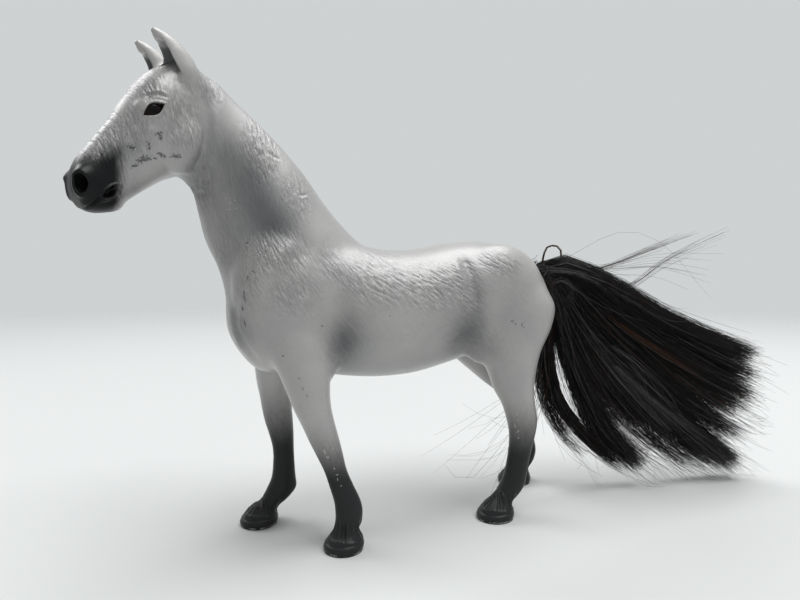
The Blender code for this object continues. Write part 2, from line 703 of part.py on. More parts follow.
def cavity_tool():
    """The hollow inside the shells, with the bosses left standing in it."""
    hollow = lofted("hollow", [ring[::2] for ring in trunk_rings(SHELL_WALL)[9:-3:2]])
    neck = lofted("neck_hollow", [ring[::2] for ring in neck_rings(SHELL_WALL)[3:-3:2]])
    head = lofted("head_hollow", [ring[::2] for ring in head_rings(SHELL_WALL)[3:-9:2]])
    cut(hollow, neck, "UNION")
    cut(hollow, head, "UNION")
    deep = PEG_DEPTH + PEG_CLEARANCE + BOSS_WALL
    for name in LEG_SIDES:
        cut(hollow, peg_block(name, PEG_CLEARANCE + BOSS_WALL, deep))
    reach = ACROSS * BODY_WIDTH
    for place in pin_places():
        radius = PIN_RADIUS + PIN_CLEARANCE + BOSS_WALL
        cut(hollow, rod("post", place - reach, place + reach, radius, sides=POST_SIDES))
    end = DOCK_PLACE - DOCK_AXIS * (DOCK_DEPTH + BOSS_WALL)
    cut(hollow, rod("dock_boss", DOCK_PLACE + DOCK_AXIS * OVERRUN, end, DOCK_RADIUS + BOSS_WALL))
    return hollow


def shell(name, side, form, hollow):
    """One half of the body, hollow, with its sockets and its half of the dock hole."""
    item = copy_of(form, name)
    centre = Vector((0, side * (SEAM_GAP / 2 + BODY_WIDTH), SHOULDER_HEIGHT))
    half = Vector((6 * STANCE_LENGTH, 2 * BODY_WIDTH, 6 * SHOULDER_HEIGHT))
    cut(item, block("half", centre, half), "INTERSECT")
    legs = [leg for leg in LEG_SIDES if LEG_SIDES[leg] == side]
    for leg in legs:
        cut(item, leg_zone(leg, JOINT_GAP / 2))
    cut(item, copy_of(hollow, "hollow_copy"))
    for leg in legs:
        cut(item, peg_block(leg, PEG_CLEARANCE, PEG_DEPTH + PEG_CLEARANCE))
    mouth = DOCK_PLACE + DOCK_AXIS * OVERRUN * 2
    cut(item, rod("bore", DOCK_PLACE - DOCK_AXIS * DOCK_DEPTH, mouth, DOCK_RADIUS, sides=BORE_SIDES))
    for place in pin_places():
        if side < 0:
            end = place + ACROSS * PIN_LENGTH
            start = place - ACROSS * BOSS_WALL
            pin = rod("pin", start, end, PIN_RADIUS, PIN_RADIUS * PIN_TAPER_SHARE, POST_SIDES)
            cut(item, pin, "UNION")
        else:
            reach = ACROSS * (PIN_LENGTH + PIN_CLEARANCE)
            radius = PIN_RADIUS + PIN_CLEARANCE
            cut(item, rod("socket", place - reach, place + reach, radius, sides=POST_SIDES))
    return item


def leg(name, form):
    """A solid leg, cut from the form at its slanted joint, with its peg."""
    item = copy_of(form, name)
    cut(item, leg_zone(name, -JOINT_GAP / 2), "INTERSECT")
    peg = peg_block(name, 0, PEG_DEPTH)
    use(peg, "BEVEL", width=PEG_EASE, segments=1)
    cut(item, peg, "UNION")
    return item


def turned_places(points):
    """Turns the neck and head of the straight animal to its left."""
    start = TURN_START_SHARE * NECK_LENGTH
    end = TURN_END_SHARE * NECK_LENGTH
    along = np.linspace(start, end, TURN_STEPS)

    def angle_at(distance):
        share = np.clip((distance - start) / (end - start), 0, 1)
        return HEAD_TURN * share**2 * (3 - 2 * share)

    middle = (along[1:] + along[:-1]) / 2
    step = (along[1] - along[0]) * TURN_DIRECTION.x
    line_x = np.concatenate([[0], np.cumsum(np.cos(angle_at(middle))) * step])
    line_y = np.concatenate([[0], np.cumsum(np.sin(angle_at(middle))) * step])
    distance = (points - np.array(ROOT_PLACE)) @ np.array(TURN_DIRECTION)
    held = np.clip(distance, start, end)
    angle = angle_at(held)
    from_x = points[:, 0] - ROOT_PLACE.x - held * TURN_DIRECTION.x
    from_y = points[:, 1]
    turned = points.copy()
    turned[:, 0] = ROOT_PLACE.x + start * TURN_DIRECTION.x + np.interp(held, along, line_x)
    turned[:, 0] += from_x * np.cos(angle) - from_y * np.sin(angle)
    turned[:, 1] = np.interp(held, along, line_y)
    turned[:, 1] += from_x * np.sin(angle) + from_y * np.cos(angle)
    return turned


def turn_head(item):
    """Bends a shell round the line of the neck, after cutting its seam finely enough to follow."""
    mesh = bmesh.new()
    mesh.from_mesh(item.data)
    for share in np.linspace(TURN_START_SHARE, TURN_END_SHARE, SEAM_CUTS + 1):
        place = ROOT_PLACE + TURN_DIRECTION * (NECK_LENGTH * share)
        seam = [
            face
            for face in mesh.faces
            if abs(face.normal.y) > 0.999 and abs(face.calc_center_median().y) < SEAM_GAP
        ]
        parts = list({part for face in seam for part in (*face.verts, *face.edges, face)})
        bmesh.ops.bisect_plane(
            mesh, geom=parts, plane_co=place, plane_no=TURN_DIRECTION, dist=SEAM_GAP / 1000
        )
    bmesh.ops.triangulate(mesh, faces=mesh.faces)
    slivers = [edge for edge in mesh.edges if edge.is_boundary]
    bmesh.ops.holes_fill(mesh, edges=slivers, sides=4)
    bmesh.ops.triangulate(mesh, faces=mesh.faces)
    mesh.to_mesh(item.data)
    mesh.free()
    points = np.empty(len(item.data.vertices) * 3)
    item.data.vertices.foreach_get("co", points)
    item.data.vertices.foreach_set("co", turned_places(points.reshape(-1, 3)).reshape(-1))
    item.data.update()


def fan_place(along, up, across=0.0):
    """A place in the fan of the tail, from the knot: along it, above it and across it."""
    direction = Vector((math.cos(TAIL_TURN), -math.sin(TAIL_TURN), 0))
    sideways = Vector((math.sin(TAIL_TURN), math.cos(TAIL_TURN), 0))
    return KNOT_PLACE + direction * along + sideways * across + UPWARD * up


def lock_rings(index):
    """Sections along one lock of hair, from the knot to its tip."""
    offset, size = LOCK_SIZE_SHARES[index]
    across = offset * TAIL_DEPTH
    rows = [(0, 0, 0)]
    for along, up in LOCK_WAY_SHARES[index]:
        rows.append((along * TAIL_LENGTH, up * TAIL_LENGTH, across))
    way = [fan_place(*row) for row in smoothed(rows, LOCK_STEPS)]
    steps = [(b - a).length for a, b in zip(way, way[1:])]
    shares = np.concatenate([[0], np.cumsum(steps)]) / sum(steps)
    sideways = (fan_place(0, 0, TAIL_DEPTH) - KNOT_PLACE).normalized()
    places, sizes = zip(*LOCK_RADIUS_SHARES)
    rings = []
    for k, place in enumerate(way):
        slope = way[min(k + 1, len(way) - 1)] - way[max(k - 1, 0)]
        up = sideways.cross(slope).normalized()
        radius = LOCK_RADIUS * size * np.interp(shares[k], places, sizes)
        points = []
        for angle in np.linspace(0, 2 * math.pi, LOCK_SIDES, endpoint=False):
            points.append(place + up * (math.cos(angle) * radius) + sideways * (math.sin(angle) * radius))
        rings.append(points)
    return rings


def tail_hair():
    """The loose locks, grown together where they touch, with room for the knot and its stem."""
    mesh = bmesh.new()
    for index in range(len(LOCK_WAY_SHARES)):
        loft(mesh, lock_rings(index))
    item = finished("tail_hair", mesh)
    use(item, "REMESH", mode="VOXEL", voxel_size=HAIR_CELL)
    use(item, "SMOOTH", factor=SMOOTH_FACTOR, iterations=SURFACE_SMOOTHING)
    use(item, "DECIMATE", ratio=TAIL_FACES / triangle_count(item))
    cut(item, ball("knot_room", KNOT_PLACE, KNOT_RADIUS + JOINT_GAP))
    inner = KNOT_RADIUS + 2 * JOINT_GAP
    length = KNOT_RADIUS + STEM_LENGTH + OVERRUN
    outer = inner + length * math.tan(TAIL_SWAY)
    cut(item, rod("stem_room", KNOT_PLACE, KNOT_PLACE - DOCK_AXIS * length, inner, outer, BORE_SIDES))
    return item


def tail_plug():
    """A tapered plug for the dock hole, with a stem that the hair is bound to."""
    inner = DOCK_PLACE - DOCK_AXIS * (DOCK_DEPTH - JOINT_GAP)
    wide = DOCK_RADIUS - JOINT_GAP
    item = rod("tail_plug", inner, DOCK_PLACE, wide - PLUG_TAPER, wide, BORE_SIDES)
    start = DOCK_PLACE - DOCK_AXIS * STEM_RADIUS
    cut(item, rod("stem", start, DOCK_PLACE + DOCK_AXIS * STEM_LENGTH, STEM_RADIUS), "UNION")
    return item


def tail_binding():
    """The thread wound round the stem, one rib for each turn."""
    inner = STEM_RADIUS + JOINT_GAP
    valley = inner + BINDING_THREAD * THREAD_VALLEY
    profile = [(0, inner)]
    for turn in range(BINDING_TURNS):
        profile.append((turn * BINDING_THREAD, valley))
        profile.append(((turn + 0.5) * BINDING_THREAD, inner + BINDING_THREAD))
    profile.append((BINDING_TURNS * BINDING_THREAD, valley))
    profile.append((BINDING_TURNS * BINDING_THREAD, inner))
    start = DOCK_PLACE + DOCK_AXIS * JOINT_GAP
    up = ACROSS.cross(DOCK_AXIS)
    mesh = bmesh.new()
    loops = []
    for angle in np.linspace(0, 2 * math.pi, BINDING_SIDES, endpoint=False):
        out = up * math.cos(angle) + ACROSS * math.sin(angle)
        points = [start + DOCK_AXIS * along + out * radius for along, radius in profile]
        loops.append([mesh.verts.new(point) for point in points])
    for first, second in zip(loops, loops[1:] + loops[:1]):
        for j in range(len(profile)):
            n = (j + 1) % len(profile)
            mesh.faces.new((first[j], first[n], second[n], second[j]))
    return finished("tail_binding", mesh)


def settle(pieces):
    """Puts the origin on the ground under the middle of the figure, and moving pieces on their pivot."""
    corners = np.array([vertex.co for item in pieces for vertex in item.data.vertices])
    low = corners.min(axis=0)
    high = corners.max(axis=0)
    shift = Vector((-(low[0] + high[0]) / 2, -(low[1] + high[1]) / 2, -low[2]))
    for item in pieces:
        pivot = KNOT_PLACE if item.name in MOVING_PIECES else Vector()
        item.data.transform(Matrix.Translation(-pivot))
        item.location = pivot + shift
    return shift


def dress(item):
    colour, roughness = FINISHES[item.name]
    item.data.materials.clear()
    item.data.materials.append(plastic(item.name, colour, roughness))
    item.data.shade_smooth()
    item.data.set_sharp_from_angle(angle=SHARP_ANGLE)


def main():
    clear_scene()
    form = outer_form()
    hollow = cavity_tool()
    left = shell("left_body_shell", -1, form, hollow)
    right = shell("right_body_shell", 1, form, hollow)
    turn_head(left)
    turn_head(right)
    pieces = [left, right]
    pieces += [leg(name, form) for name in LEG_SIDES]
    pieces += [tail_plug(), tail_binding()]
    pieces += [ball("tail_root_hair", KNOT_PLACE, KNOT_RADIUS), tail_hair()]
    bpy.data.objects.remove(form, do_unlink=True)
    bpy.data.objects.remove(hollow, do_unlink=True)
    shift = settle(pieces)
    for item in pieces:
        dress(item)
        print(item.name, triangle_count(item))
    print("tail pivot", [round(value, 5) for value in KNOT_PLACE + shift])
    for name, (x, y, _) in HOOF_PLACE_SHARES.items():
        place = Vector((x * STANCE_LENGTH, LEG_SIDES[name] * y * BODY_WIDTH, 0)) + shift
        print(name, "sole", round(place.x, 5), round(place.y, 5))


main()
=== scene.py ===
# A moulded toy horse with a tail of loose hair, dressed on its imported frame.
# The horse is shaped straight, in millimetres, with its nose to -X and its left side to -Y.
# Its head is turned at the end, and everything moves to the frame's own place and metres.
import json
import math

import bpy
import numpy as np
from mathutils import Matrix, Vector


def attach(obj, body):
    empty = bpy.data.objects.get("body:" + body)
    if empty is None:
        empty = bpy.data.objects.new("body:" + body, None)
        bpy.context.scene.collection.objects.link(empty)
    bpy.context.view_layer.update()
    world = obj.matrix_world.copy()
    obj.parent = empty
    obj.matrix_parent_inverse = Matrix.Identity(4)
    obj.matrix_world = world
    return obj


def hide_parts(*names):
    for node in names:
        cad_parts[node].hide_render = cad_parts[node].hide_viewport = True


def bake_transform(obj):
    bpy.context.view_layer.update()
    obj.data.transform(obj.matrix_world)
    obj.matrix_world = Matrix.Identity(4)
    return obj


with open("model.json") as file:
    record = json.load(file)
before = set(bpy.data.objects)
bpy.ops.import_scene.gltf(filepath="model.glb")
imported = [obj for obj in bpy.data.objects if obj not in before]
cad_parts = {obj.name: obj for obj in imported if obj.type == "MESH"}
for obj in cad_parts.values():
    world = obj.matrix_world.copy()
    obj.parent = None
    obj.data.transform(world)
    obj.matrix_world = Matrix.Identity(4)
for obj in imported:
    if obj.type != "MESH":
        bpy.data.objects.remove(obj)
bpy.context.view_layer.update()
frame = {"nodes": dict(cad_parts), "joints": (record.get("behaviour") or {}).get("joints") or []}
mm = 0.001

# the tail's pivot is known in both places, which gives the shift between them
dockPlace = np.array((63, 0, 106.0))
dockRise = math.radians(25)
dockAxis = np.array((math.cos(dockRise), 0, math.sin(dockRise)))
dockToKnot = 5.8
knotPlace = dockPlace + dockAxis * dockToKnot
frameShift = np.array(frame["joints"][0]["pos_m"]) / mm - knotPlace


# Small tools

def deselectAll():
    bpy.ops.object.select_all(action="DESELECT")


def makeActive(piece):
    deselectAll()
    piece.select_set(True)
    bpy.context.view_layer.objects.active = piece


def turnOutward(piece):
    makeActive(piece)
    bpy.ops.object.mode_set(mode="EDIT")
    bpy.ops.mesh.select_all(action="SELECT")
    bpy.ops.mesh.normals_make_consistent(inside=False)
    bpy.ops.object.mode_set(mode="OBJECT")


def meshPiece(name, points, faces):
    data = bpy.data.meshes.new(name)
    data.from_pydata([tuple(point) for point in points], [], faces)
    piece = bpy.data.objects.new(name, data)
    bpy.context.collection.objects.link(piece)
    return piece


def applyModifier(piece, kind, **settings):
    makeActive(piece)
    modifier = piece.modifiers.new(kind.title(), kind)
    for key, value in settings.items():
        setattr(modifier, key, value)
    bpy.ops.object.modifier_apply(modifier=modifier.name)


def copyPiece(piece, name):
    twin = piece.copy()
    twin.data = piece.data.copy()
    twin.name = name
    bpy.context.collection.objects.link(twin)
    return twin


def pointsOf(piece):
    points = np.empty(len(piece.data.vertices) * 3)
    piece.data.vertices.foreach_get("co", points)
    return points.reshape(-1, 3)


def normalsOf(piece):
    normals = np.empty(len(piece.data.vertices) * 3)
    piece.data.vertex_normals.foreach_get("vector", normals)
    return normals.reshape(-1, 3)


def setPoints(piece, points):
    piece.data.vertices.foreach_set("co", np.asarray(points, float).reshape(-1))
    piece.data.update()


def setField(piece, name, values):
    isVector = values.ndim == 2
    field = piece.data.attributes.new(name, "FLOAT_VECTOR" if isVector else "FLOAT", "POINT")
    field.data.foreach_set("vector" if isVector else "value", values.astype(np.float32).reshape(-1))


def smoothStep(values, low, high):
    share = np.clip((np.asarray(values, float) - low) / (high - low), 0, 1)
    return share * share * (3 - 2 * share)


# The camera stands to the animal's left, a little ahead of its middle

cameraView = {
    "place": (-97.6, -223.5, 110.8),
    "pitch": 86.7,
    "yaw": -22.5,
    "lens": 24.975,
    "sensor": 36,
}


def addCamera():
    bpy.ops.object.camera_add(location=Vector((np.array(cameraView["place"]) + frameShift) * mm))
    camera = bpy.context.object
    camera.rotation_euler = (math.radians(cameraView["pitch"]), 0, math.radians(cameraView["yaw"]))
    camera.data.lens = cameraView["lens"]
    camera.data.sensor_width = cameraView["sensor"]
    camera.data.clip_start = 0.005
    bpy.context.scene.camera = camera


print("stage: camera")
addCamera()

# Main forms. Each row of the trunk is its place, top, bottom, half width, and the share of its depth
# at which it is widest
trunk = {
    "square": 0.95,
    "rows": [
        (66.3, 101, 84, 5, 0.55), (65, 105.5, 79, 10, 0.55), (62, 111.5, 72.5, 15.5, 0.55),
        (55, 116.5, 69, 19.5, 0.55), (45, 121, 70, 22.2, 0.55), (31, 123.2, 72, 23, 0.55),
        (16, 122, 68.5, 22.5, 0.52), (0, 119, 65.2, 23.5, 0.5), (-15, 119, 64.5, 24, 0.48),
        (-28, 121.5, 65.5, 23, 0.46), (-42, 125.5, 67.5, 21, 0.44), (-55, 124.5, 68.5, 20, 0.42),
        (-66, 117.5, 70.5, 18, 0.42), (-73.5, 108.5, 78.5, 13.5, 0.45), (-77.5, 100.5, 86.5, 7.5, 0.5),
    ],
}
# Rows of neck and head: upper place and height, lower place and height, half width, widest share,
# and how square the section is
neck = {
    "root": (-58, 0, 110.5),
    "rows": [
        (44, 4, 0, -42, 20, 0.45, 1), (34, 11, -12, -34, 20, 0.45, 1),
        (26.5, 18, -18.5, -22, 18.4, 0.42, 1), (18.8, 27, -20, -10, 16.4, 0.42, 1),
        (11.8, 37, -22.5, 0, 14, 0.42, 1), (3.6, 46.6, -26.5, 9.5, 12, 0.42, 1),
        (-5.6, 56, -28.8, 18.7, 10.8, 0.45, 1), (-15, 64.6, -31, 28, 10.2, 0.45, 1),
        (-22.6, 70.8, -34.6, 32.6, 10, 0.5, 1), (-29.3, 73.2, -37.6, 34.6, 9.6, 0.5, 1),
        (-35.5, 72.5, -40, 36.5, 8.4, 0.5, 1),
    ],
}
head = {
    "root": (-93.5, 0, 144.5),
    "rows": [
        (7, 40.5, 0, 0, 10.2, 0.5, 1.0), (0.5, 40.8, -1.5, -0.5, 11.2, 0.5, 0.95),
        (-6.5, 38, -4, -1.5, 12, 0.55, 0.9), (-12.5, 33, -7.5, -3, 12.5, 0.6, 0.85),
        (-17.2, 27.4, -11, -5.2, 11.5, 0.58, 0.85), (-20.8, 21.4, -14, -7.2, 9.8, 0.5, 0.85),
        (-24, 15.9, -16.5, -9, 8.5, 0.48, 0.85), (-27.2, 11.4, -18.5, -10.5, 7.8, 0.46, 0.85),
        (-30.9, 6.3, -20.5, -12.2, 7.5, 0.5, 0.85), (-34.1, 1.9, -22.5, -14, 7.9, 0.52, 0.85),
        (-35.9, -2.7, -25.5, -15.2, 7.8, 0.52, 0.9), (-36.4, -6.7, -29.5, -15.6, 6.8, 0.5, 0.95),
        (-36, -9.4, -33, -14.6, 4.5, 0.5, 1.0),
    ],
}
# Rows of a leg: height, place, distance from the middle, half depth, half width. Its hoof is place,
# distance and length, and its joint with the shell is a height and four places along the animal
legs = {
    "front_left_leg": {
        "side": -1,
        "rows": [
            (86.5, -54, 13, 13, 8), (76.5, -52, 14, 11.5, 8.5), (69.5, -50.5, 15, 9.7, 8),
            (62.5, -49.25, 15.5, 8.15, 7), (56.5, -47.9, 16, 7.2, 6.2), (50.5, -45.85, 16.3, 6.45, 5.6),
            (44.2, -43.7, 16.6, 5.9, 5.4), (38.7, -41.75, 16.8, 5.25, 4.9), (32.1, -39.5, 17, 4.5, 4.1),
            (25.5, -37.1, 17.1, 4.8, 3.9), (19, -34.7, 17.2, 5.3, 4.3), (14, -34, 17.3, 5.5, 4.8),
            (10, -34.5, 17.4, 5.1, 4.6), (7.5, -35.6, 17.4, 4.7, 4.6), (4, -36.2, 17.4, 5.5, 5.5),
        ],
        "hoof": (-36.2, 17.4, 1.0),
        "joint": (65, -64, -36, -72, -24),
    },
    "front_right_leg": {
        "side": 1,
        "rows": [
            (86.5, -56, 13, 13, 8), (76.5, -56, 14, 11, 8.5), (69.5, -56.5, 15, 9, 8),
            (62.5, -56.9, 15.8, 7.6, 7), (56.5, -56.5, 16.3, 6.8, 6.2), (50.5, -55.9, 16.8, 6.4, 5.5),
            (44.2, -55, 17.2, 6, 5.3), (38.7, -54, 17.5, 5.3, 4.7), (32.1, -53.2, 17.7, 4.6, 4.1),
            (25.5, -53, 17.9, 4.7, 4), (19, -53.2, 18, 5.3, 4.3), (14, -54.2, 18.1, 6.6, 4.8),
            (10, -57, 18.2, 5.8, 4.6), (7.5, -60, 18.3, 5.2, 4.6), (4, -63, 18.3, 5.5, 5.5),
        ],
        "hoof": (-63.8, 18.3, 1.0),
        "joint": (65, -70, -43, -80, -36),
    },
    "hind_left_leg": {
        "side": -1,
        "rows": [
            (102.5, 47, 10.5, 15, 10), (97.5, 47, 11.4, 18.2, 11.3), (92.5, 47, 12, 19.9, 12),
            (82.5, 43.5, 13.5, 20, 11), (74.5, 41, 15, 16.8, 9.8), (66.5, 42.3, 15.8, 12.2, 8.6),
            (57.5, 43.3, 16.2, 9.8, 7.2),
            (50.5, 45.6, 16.4, 8, 6), (43.2, 47.6, 16.5, 7.4, 5.6), (37.7, 48, 16.5, 6.6, 5),
            (32.1, 47.4, 16.5, 5.9, 4.5), (24.5, 45.8, 16.5, 5.4, 4.2), (18, 44.4, 16.5, 5.6, 4.4),
            (13, 42.4, 16.5, 6.2, 4.8), (10, 39.8, 16.5, 5.7, 4.7), (7.5, 37.2, 16.5, 5.2, 4.7),
            (4, 35.3, 16.5, 5.5, 5.5),
        ],
        "hoof": (34.2, 16.5, 1.05),
        "joint": (60.5, 18, 66, 16, 66),
    },
    "hind_right_leg": {
        "side": 1,
        "rows": [
            (102.5, 47, 10.5, 15, 10), (97.5, 48, 11.4, 18, 11.3), (92.5, 49, 12, 19.8, 12),
            (82.5, 47, 13.5, 19.5, 11), (74.5, 45, 15, 19, 9.8), (67.5, 47, 15.5, 16.5, 8.6),
            (61.2, 50.8, 15.7, 12.8, 7.5),
            (54, 57, 15.8, 10, 6.5), (47.5, 63.5, 15.8, 7.8, 5.8), (42.2, 67, 15.8, 7.2, 5.5),
            (35.5, 69.5, 15.8, 6.2, 4.8), (28.8, 71, 15.8, 5.4, 4.3), (22.3, 72.2, 15.8, 5.1, 4.2),
            (16, 72.8, 15.8, 5.6, 4.6), (12, 72, 15.8, 5.6, 4.6), (9, 70, 15.8, 5.2, 4.6),
            (7, 68.5, 15.8, 5, 4.6), (4, 67, 15.8, 5.5, 5.5),
        ],
        "hoof": (66, 15.8, 1.05),
        "joint": (60.5, 26, 76, 36, 88),
    },
}
# Muscles and bones: place, distance from the middle, height, three radii, tilt forwards
muscles = {
    "shoulder": (-56, 10.5, 100, 20, 10.75, 27, -25),
    "breast": (-66, 7.5, 89.5, 11, 9.5, 14, 0),
    "elbow": (-47, 13.5, 77, 11, 6.5, 13, 0),
    "hip": (37, 10.5, 102, 24, 12.5, 20, 0),
    "buttock": (48.5, 9, 91, 16, 12.5, 22, 15),
    "stifle": (29.5, 14, 83, 12.5, 7.75, 14.5, 0),
    "jowl": (-97, 6.5, 156.25, 10, 6, 12.5, 0),
    "orbit": (-106.5, 8.4, 162.6, 6, 4.1, 5.6, 0),
    "nostril": (-125.5, 4.5, 140, 4.25, 3.5, 4, 0),
    "chin": (-119, 0, 132.5, 5.5, 4.75, 3.1, 0),
}
# Profile of a hoof: height, share of its half size, and how far its middle lies back
hoofShape = {
    "halfLength": 8.3, "halfWidth": 8, "heel": 0.94,
    "rows": [
        (8.6, 0.44, 1.7), (7.8, 0.53, 1.5), (7.0, 0.62, 1.3), (6.2, 0.71, 1.1), (5.4, 0.79, 0.9),
        (4.4, 0.87, 0.7), (3.4, 0.94, 0.5), (2.5, 0.985, 0.3), (1.9, 1.02, 0.1), (1.5, 1.02, 0),
        (1.2, 0.975, 0), (0.4, 0.965, 0), (-2, 0.96, 0),
    ],
}
# Rows of an ear from its root: length along it, half depth, half thickness, how far its middle is back.
# Its hollow begins and ends over two stretches, and is a bowl as wide as a share of the ear
ears = {
    "root": (-93.5, 7.5, 175.5), "lean": 38, "opens": 4,
    "hollow": {
        "begins": (2.5, 7), "ends": (17, 5), "wide": 0.84, "bowl": (1.1, 2.4, 0.4), "ahead": (1.15, 0.3)},
    "rows": [
        (-4.9, 5.8, 4.3, 1), (1.8, 5.9, 4.1, 1.2), (6.7, 5.7, 3.6, 1.4), (11.6, 4.4, 2.9, 1.9),
        (15.8, 2.9, 2.1, 1.8), (18.4, 1.9, 1.4, 1.1), (19.7, 1.2, 0.95, 0.7), (20.4, 0.5, 0.45, 0.5),
    ],
}
skin = {
    "cell": 0.8,
    "ringPoints": 48,
    "rowSteps": 4,
    "settleRuns": 4,
    "blendRuns": 70,
    "blendFrom": 64.5,
    "blendTo": 78.5,
    # the head keeps a little of the smoothing, and the neck takes it up by this much along its way
    "headShare": 0.06,
    "neckReach": 50,
    "neckGain": 4,
    # joins that are smoothed as much as the trunk: place, height, radius
    "joins": [(-87, 174, 6), (-86, 181, 5), (-88.5, 146.5, 6), (63, 99, 9), (66, 88, 7)],
    "joinReach": 1.3,
    "joinFade": 0.6,
    "levels": 20,
}
headTurn = {"angle": math.radians(22), "direction": (-0.94, 0, 0.342), "start": 8, "end": 50, "steps": 60}


def betweenRows(rows, steps):
    # more rows between the given ones, on a smooth curve through them
    rows = np.array(rows, float)
    padded = np.vstack([2 * rows[0] - rows[1], rows, 2 * rows[-1] - rows[-2]])
    result = []
    for k in range(len(rows) - 1):
        a, b, c, d = padded[k:k + 4]
        for t in np.arange(steps) / steps:
            square = (2 * a - 5 * b + 4 * c - d) * t**2
            cube = (3 * b - a - 3 * c + d) * t**3
            result.append((2 * b + (c - a) * t + square + cube) / 2)
    result.append(rows[-1])
    return result


def ring(centre, up, above, below, halfWidth, square=1.0, side=(0, 1, 0)):
    angle = np.linspace(0, 2 * math.pi, skin["ringPoints"], endpoint=False)
    rise = np.sign(np.cos(angle)) * np.abs(np.cos(angle)) ** square
    reach = np.where(rise > 0, above, below) * rise
    across = np.sign(np.sin(angle)) * np.abs(np.sin(angle)) ** square * halfWidth
    return np.array(centre) + reach[:, None] * np.array(up) + across[:, None] * np.array(side)


def addLoft(points, faces, rings):
    first = len(points)
    count = len(rings[0])
    for loop in rings:
        points.extend(loop)
    for k in range(len(rings) - 1):
        for j in range(count):
            n = (j + 1) % count
            low, high = first + k * count, first + (k + 1) * count
            faces.append((low + j, low + n, high + n, high + j))
    faces.append(tuple(range(first + count - 1, first - 1, -1)))
    faces.append(tuple(range(first + (len(rings) - 1) * count, first + len(rings) * count)))


def earAxes(side):
    lean = math.radians(ears["lean"])
    along = np.array((-math.sin(lean), 0, math.cos(lean)))
    ahead = np.array((-math.cos(lean), 0, -math.sin(lean)))
    root = np.array(ears["root"]) * (1, side, 1)
    return root, along, ahead, np.array((0, side, 0))


def trunkRings():
    rings = []
    for x, top, bottom, half, widest in betweenRows(trunk["rows"], skin["rowSteps"]):
        middle = bottom + widest * (top - bottom)
        rings.append(ring((x, 0, middle), (0, 0, 1), top - middle, middle - bottom, half, trunk["square"]))
    return rings


def pairedRings(form):
    rings = []
    for row in betweenRows(form["rows"], skin["rowSteps"]):
        upper = np.array((row[0], 0, row[1]))
        lower = np.array((row[2], 0, row[3]))
        depth = np.linalg.norm(upper - lower)
        up = (upper - lower) / depth
        centre = np.array(form["root"]) + lower + up * depth * row[5]
        rings.append(ring(centre, up, depth * (1 - row[5]), depth * row[5], row[4], row[6]))
    return rings


def legRings(leg):
    rings = []
    for z, x, y, depth, half in betweenRows(leg["rows"], skin["rowSteps"]):
        rings.append(ring((x, leg["side"] * y, z), (-1, 0, 0), depth, depth, half))
    return rings


def hoofRings(leg):
    x, y, length = leg["hoof"]
    rings = []
    for z, size, back in hoofShape["rows"]:
        reach = size * length * hoofShape["halfLength"]
        centre = (x + back, leg["side"] * y, z)
        half = size * hoofShape["halfWidth"]
        rings.append(ring(centre, (-1, 0, 0), reach, reach * hoofShape["heel"], half))
    return rings


def earRings(side):
    root, along, ahead, out = earAxes(side)
    rings = []
    for length, depth, thick, back in betweenRows(ears["rows"], skin["rowSteps"]):
        rings.append(ring(root + along * length - ahead * back, ahead, depth, depth, thick, 1.0, out))
    return rings


def addMuscles():
    balls = []
    for x, y, z, rx, ry, rz, tilt in muscles.values():
        for side in (-1, 1) if y else (1,):
            deselectAll()
            place = (x, side * y, z)
            bpy.ops.mesh.primitive_uv_sphere_add(segments=40, ring_count=24, radius=1, location=place)
            ball = bpy.context.object
            ball.scale = (rx, ry, rz)
            ball.rotation_euler = (0, math.radians(tilt), 0)
            balls.append(ball)
    return balls


def mainForm():
    points, faces = [], []
    addLoft(points, faces, trunkRings())
    addLoft(points, faces, pairedRings(neck))
    addLoft(points, faces, pairedRings(head))
    for leg in legs.values():
        addLoft(points, faces, legRings(leg))
        addLoft(points, faces, hoofRings(leg))
    for side in (-1, 1):
        addLoft(points, faces, earRings(side))
    form = meshPiece("form", points, faces)
    balls = addMuscles()
    makeActive(form)
    for ball in balls:
        ball.select_set(True)
    bpy.ops.object.join()
    turnOutward(form)
    applyModifier(form, "REMESH", mode="VOXEL", voxel_size=skin["cell"])
    applyModifier(form, "SMOOTH", factor=0.5, iterations=skin["settleRuns"])
    return form


def blendMuscles(form):
    # trunk and neck are rounded, while limbs and head stay crisp
    points = pointsOf(form)
    rise = np.clip((points[:, 2] - skin["blendFrom"]) / (skin["blendTo"] - skin["blendFrom"]), 0, 1)
    ahead = (points - np.array(head["root"])) @ np.array(headTurn["direction"]) / skin["neckReach"]
    weights = rise * np.clip(-ahead * skin["neckGain"], skin["headShare"], 1)
    for x, z, radius in skin["joins"]:
        away = np.hypot(points[:, 0] - x, points[:, 2] - z) / radius
        weights = np.maximum(weights, smoothStep(skin["joinReach"] - away, 0, skin["joinFade"]))
    group = form.vertex_groups.new(name="blend")
    levels = np.round(weights * skin["levels"]).astype(int)
    for level in range(1, skin["levels"] + 1):
        group.add(np.flatnonzero(levels == level).tolist(), level / skin["levels"], "REPLACE")
    applyModifier(form, "SMOOTH", factor=0.5, iterations=skin["blendRuns"], vertex_group="blend")
    form.vertex_groups.clear()


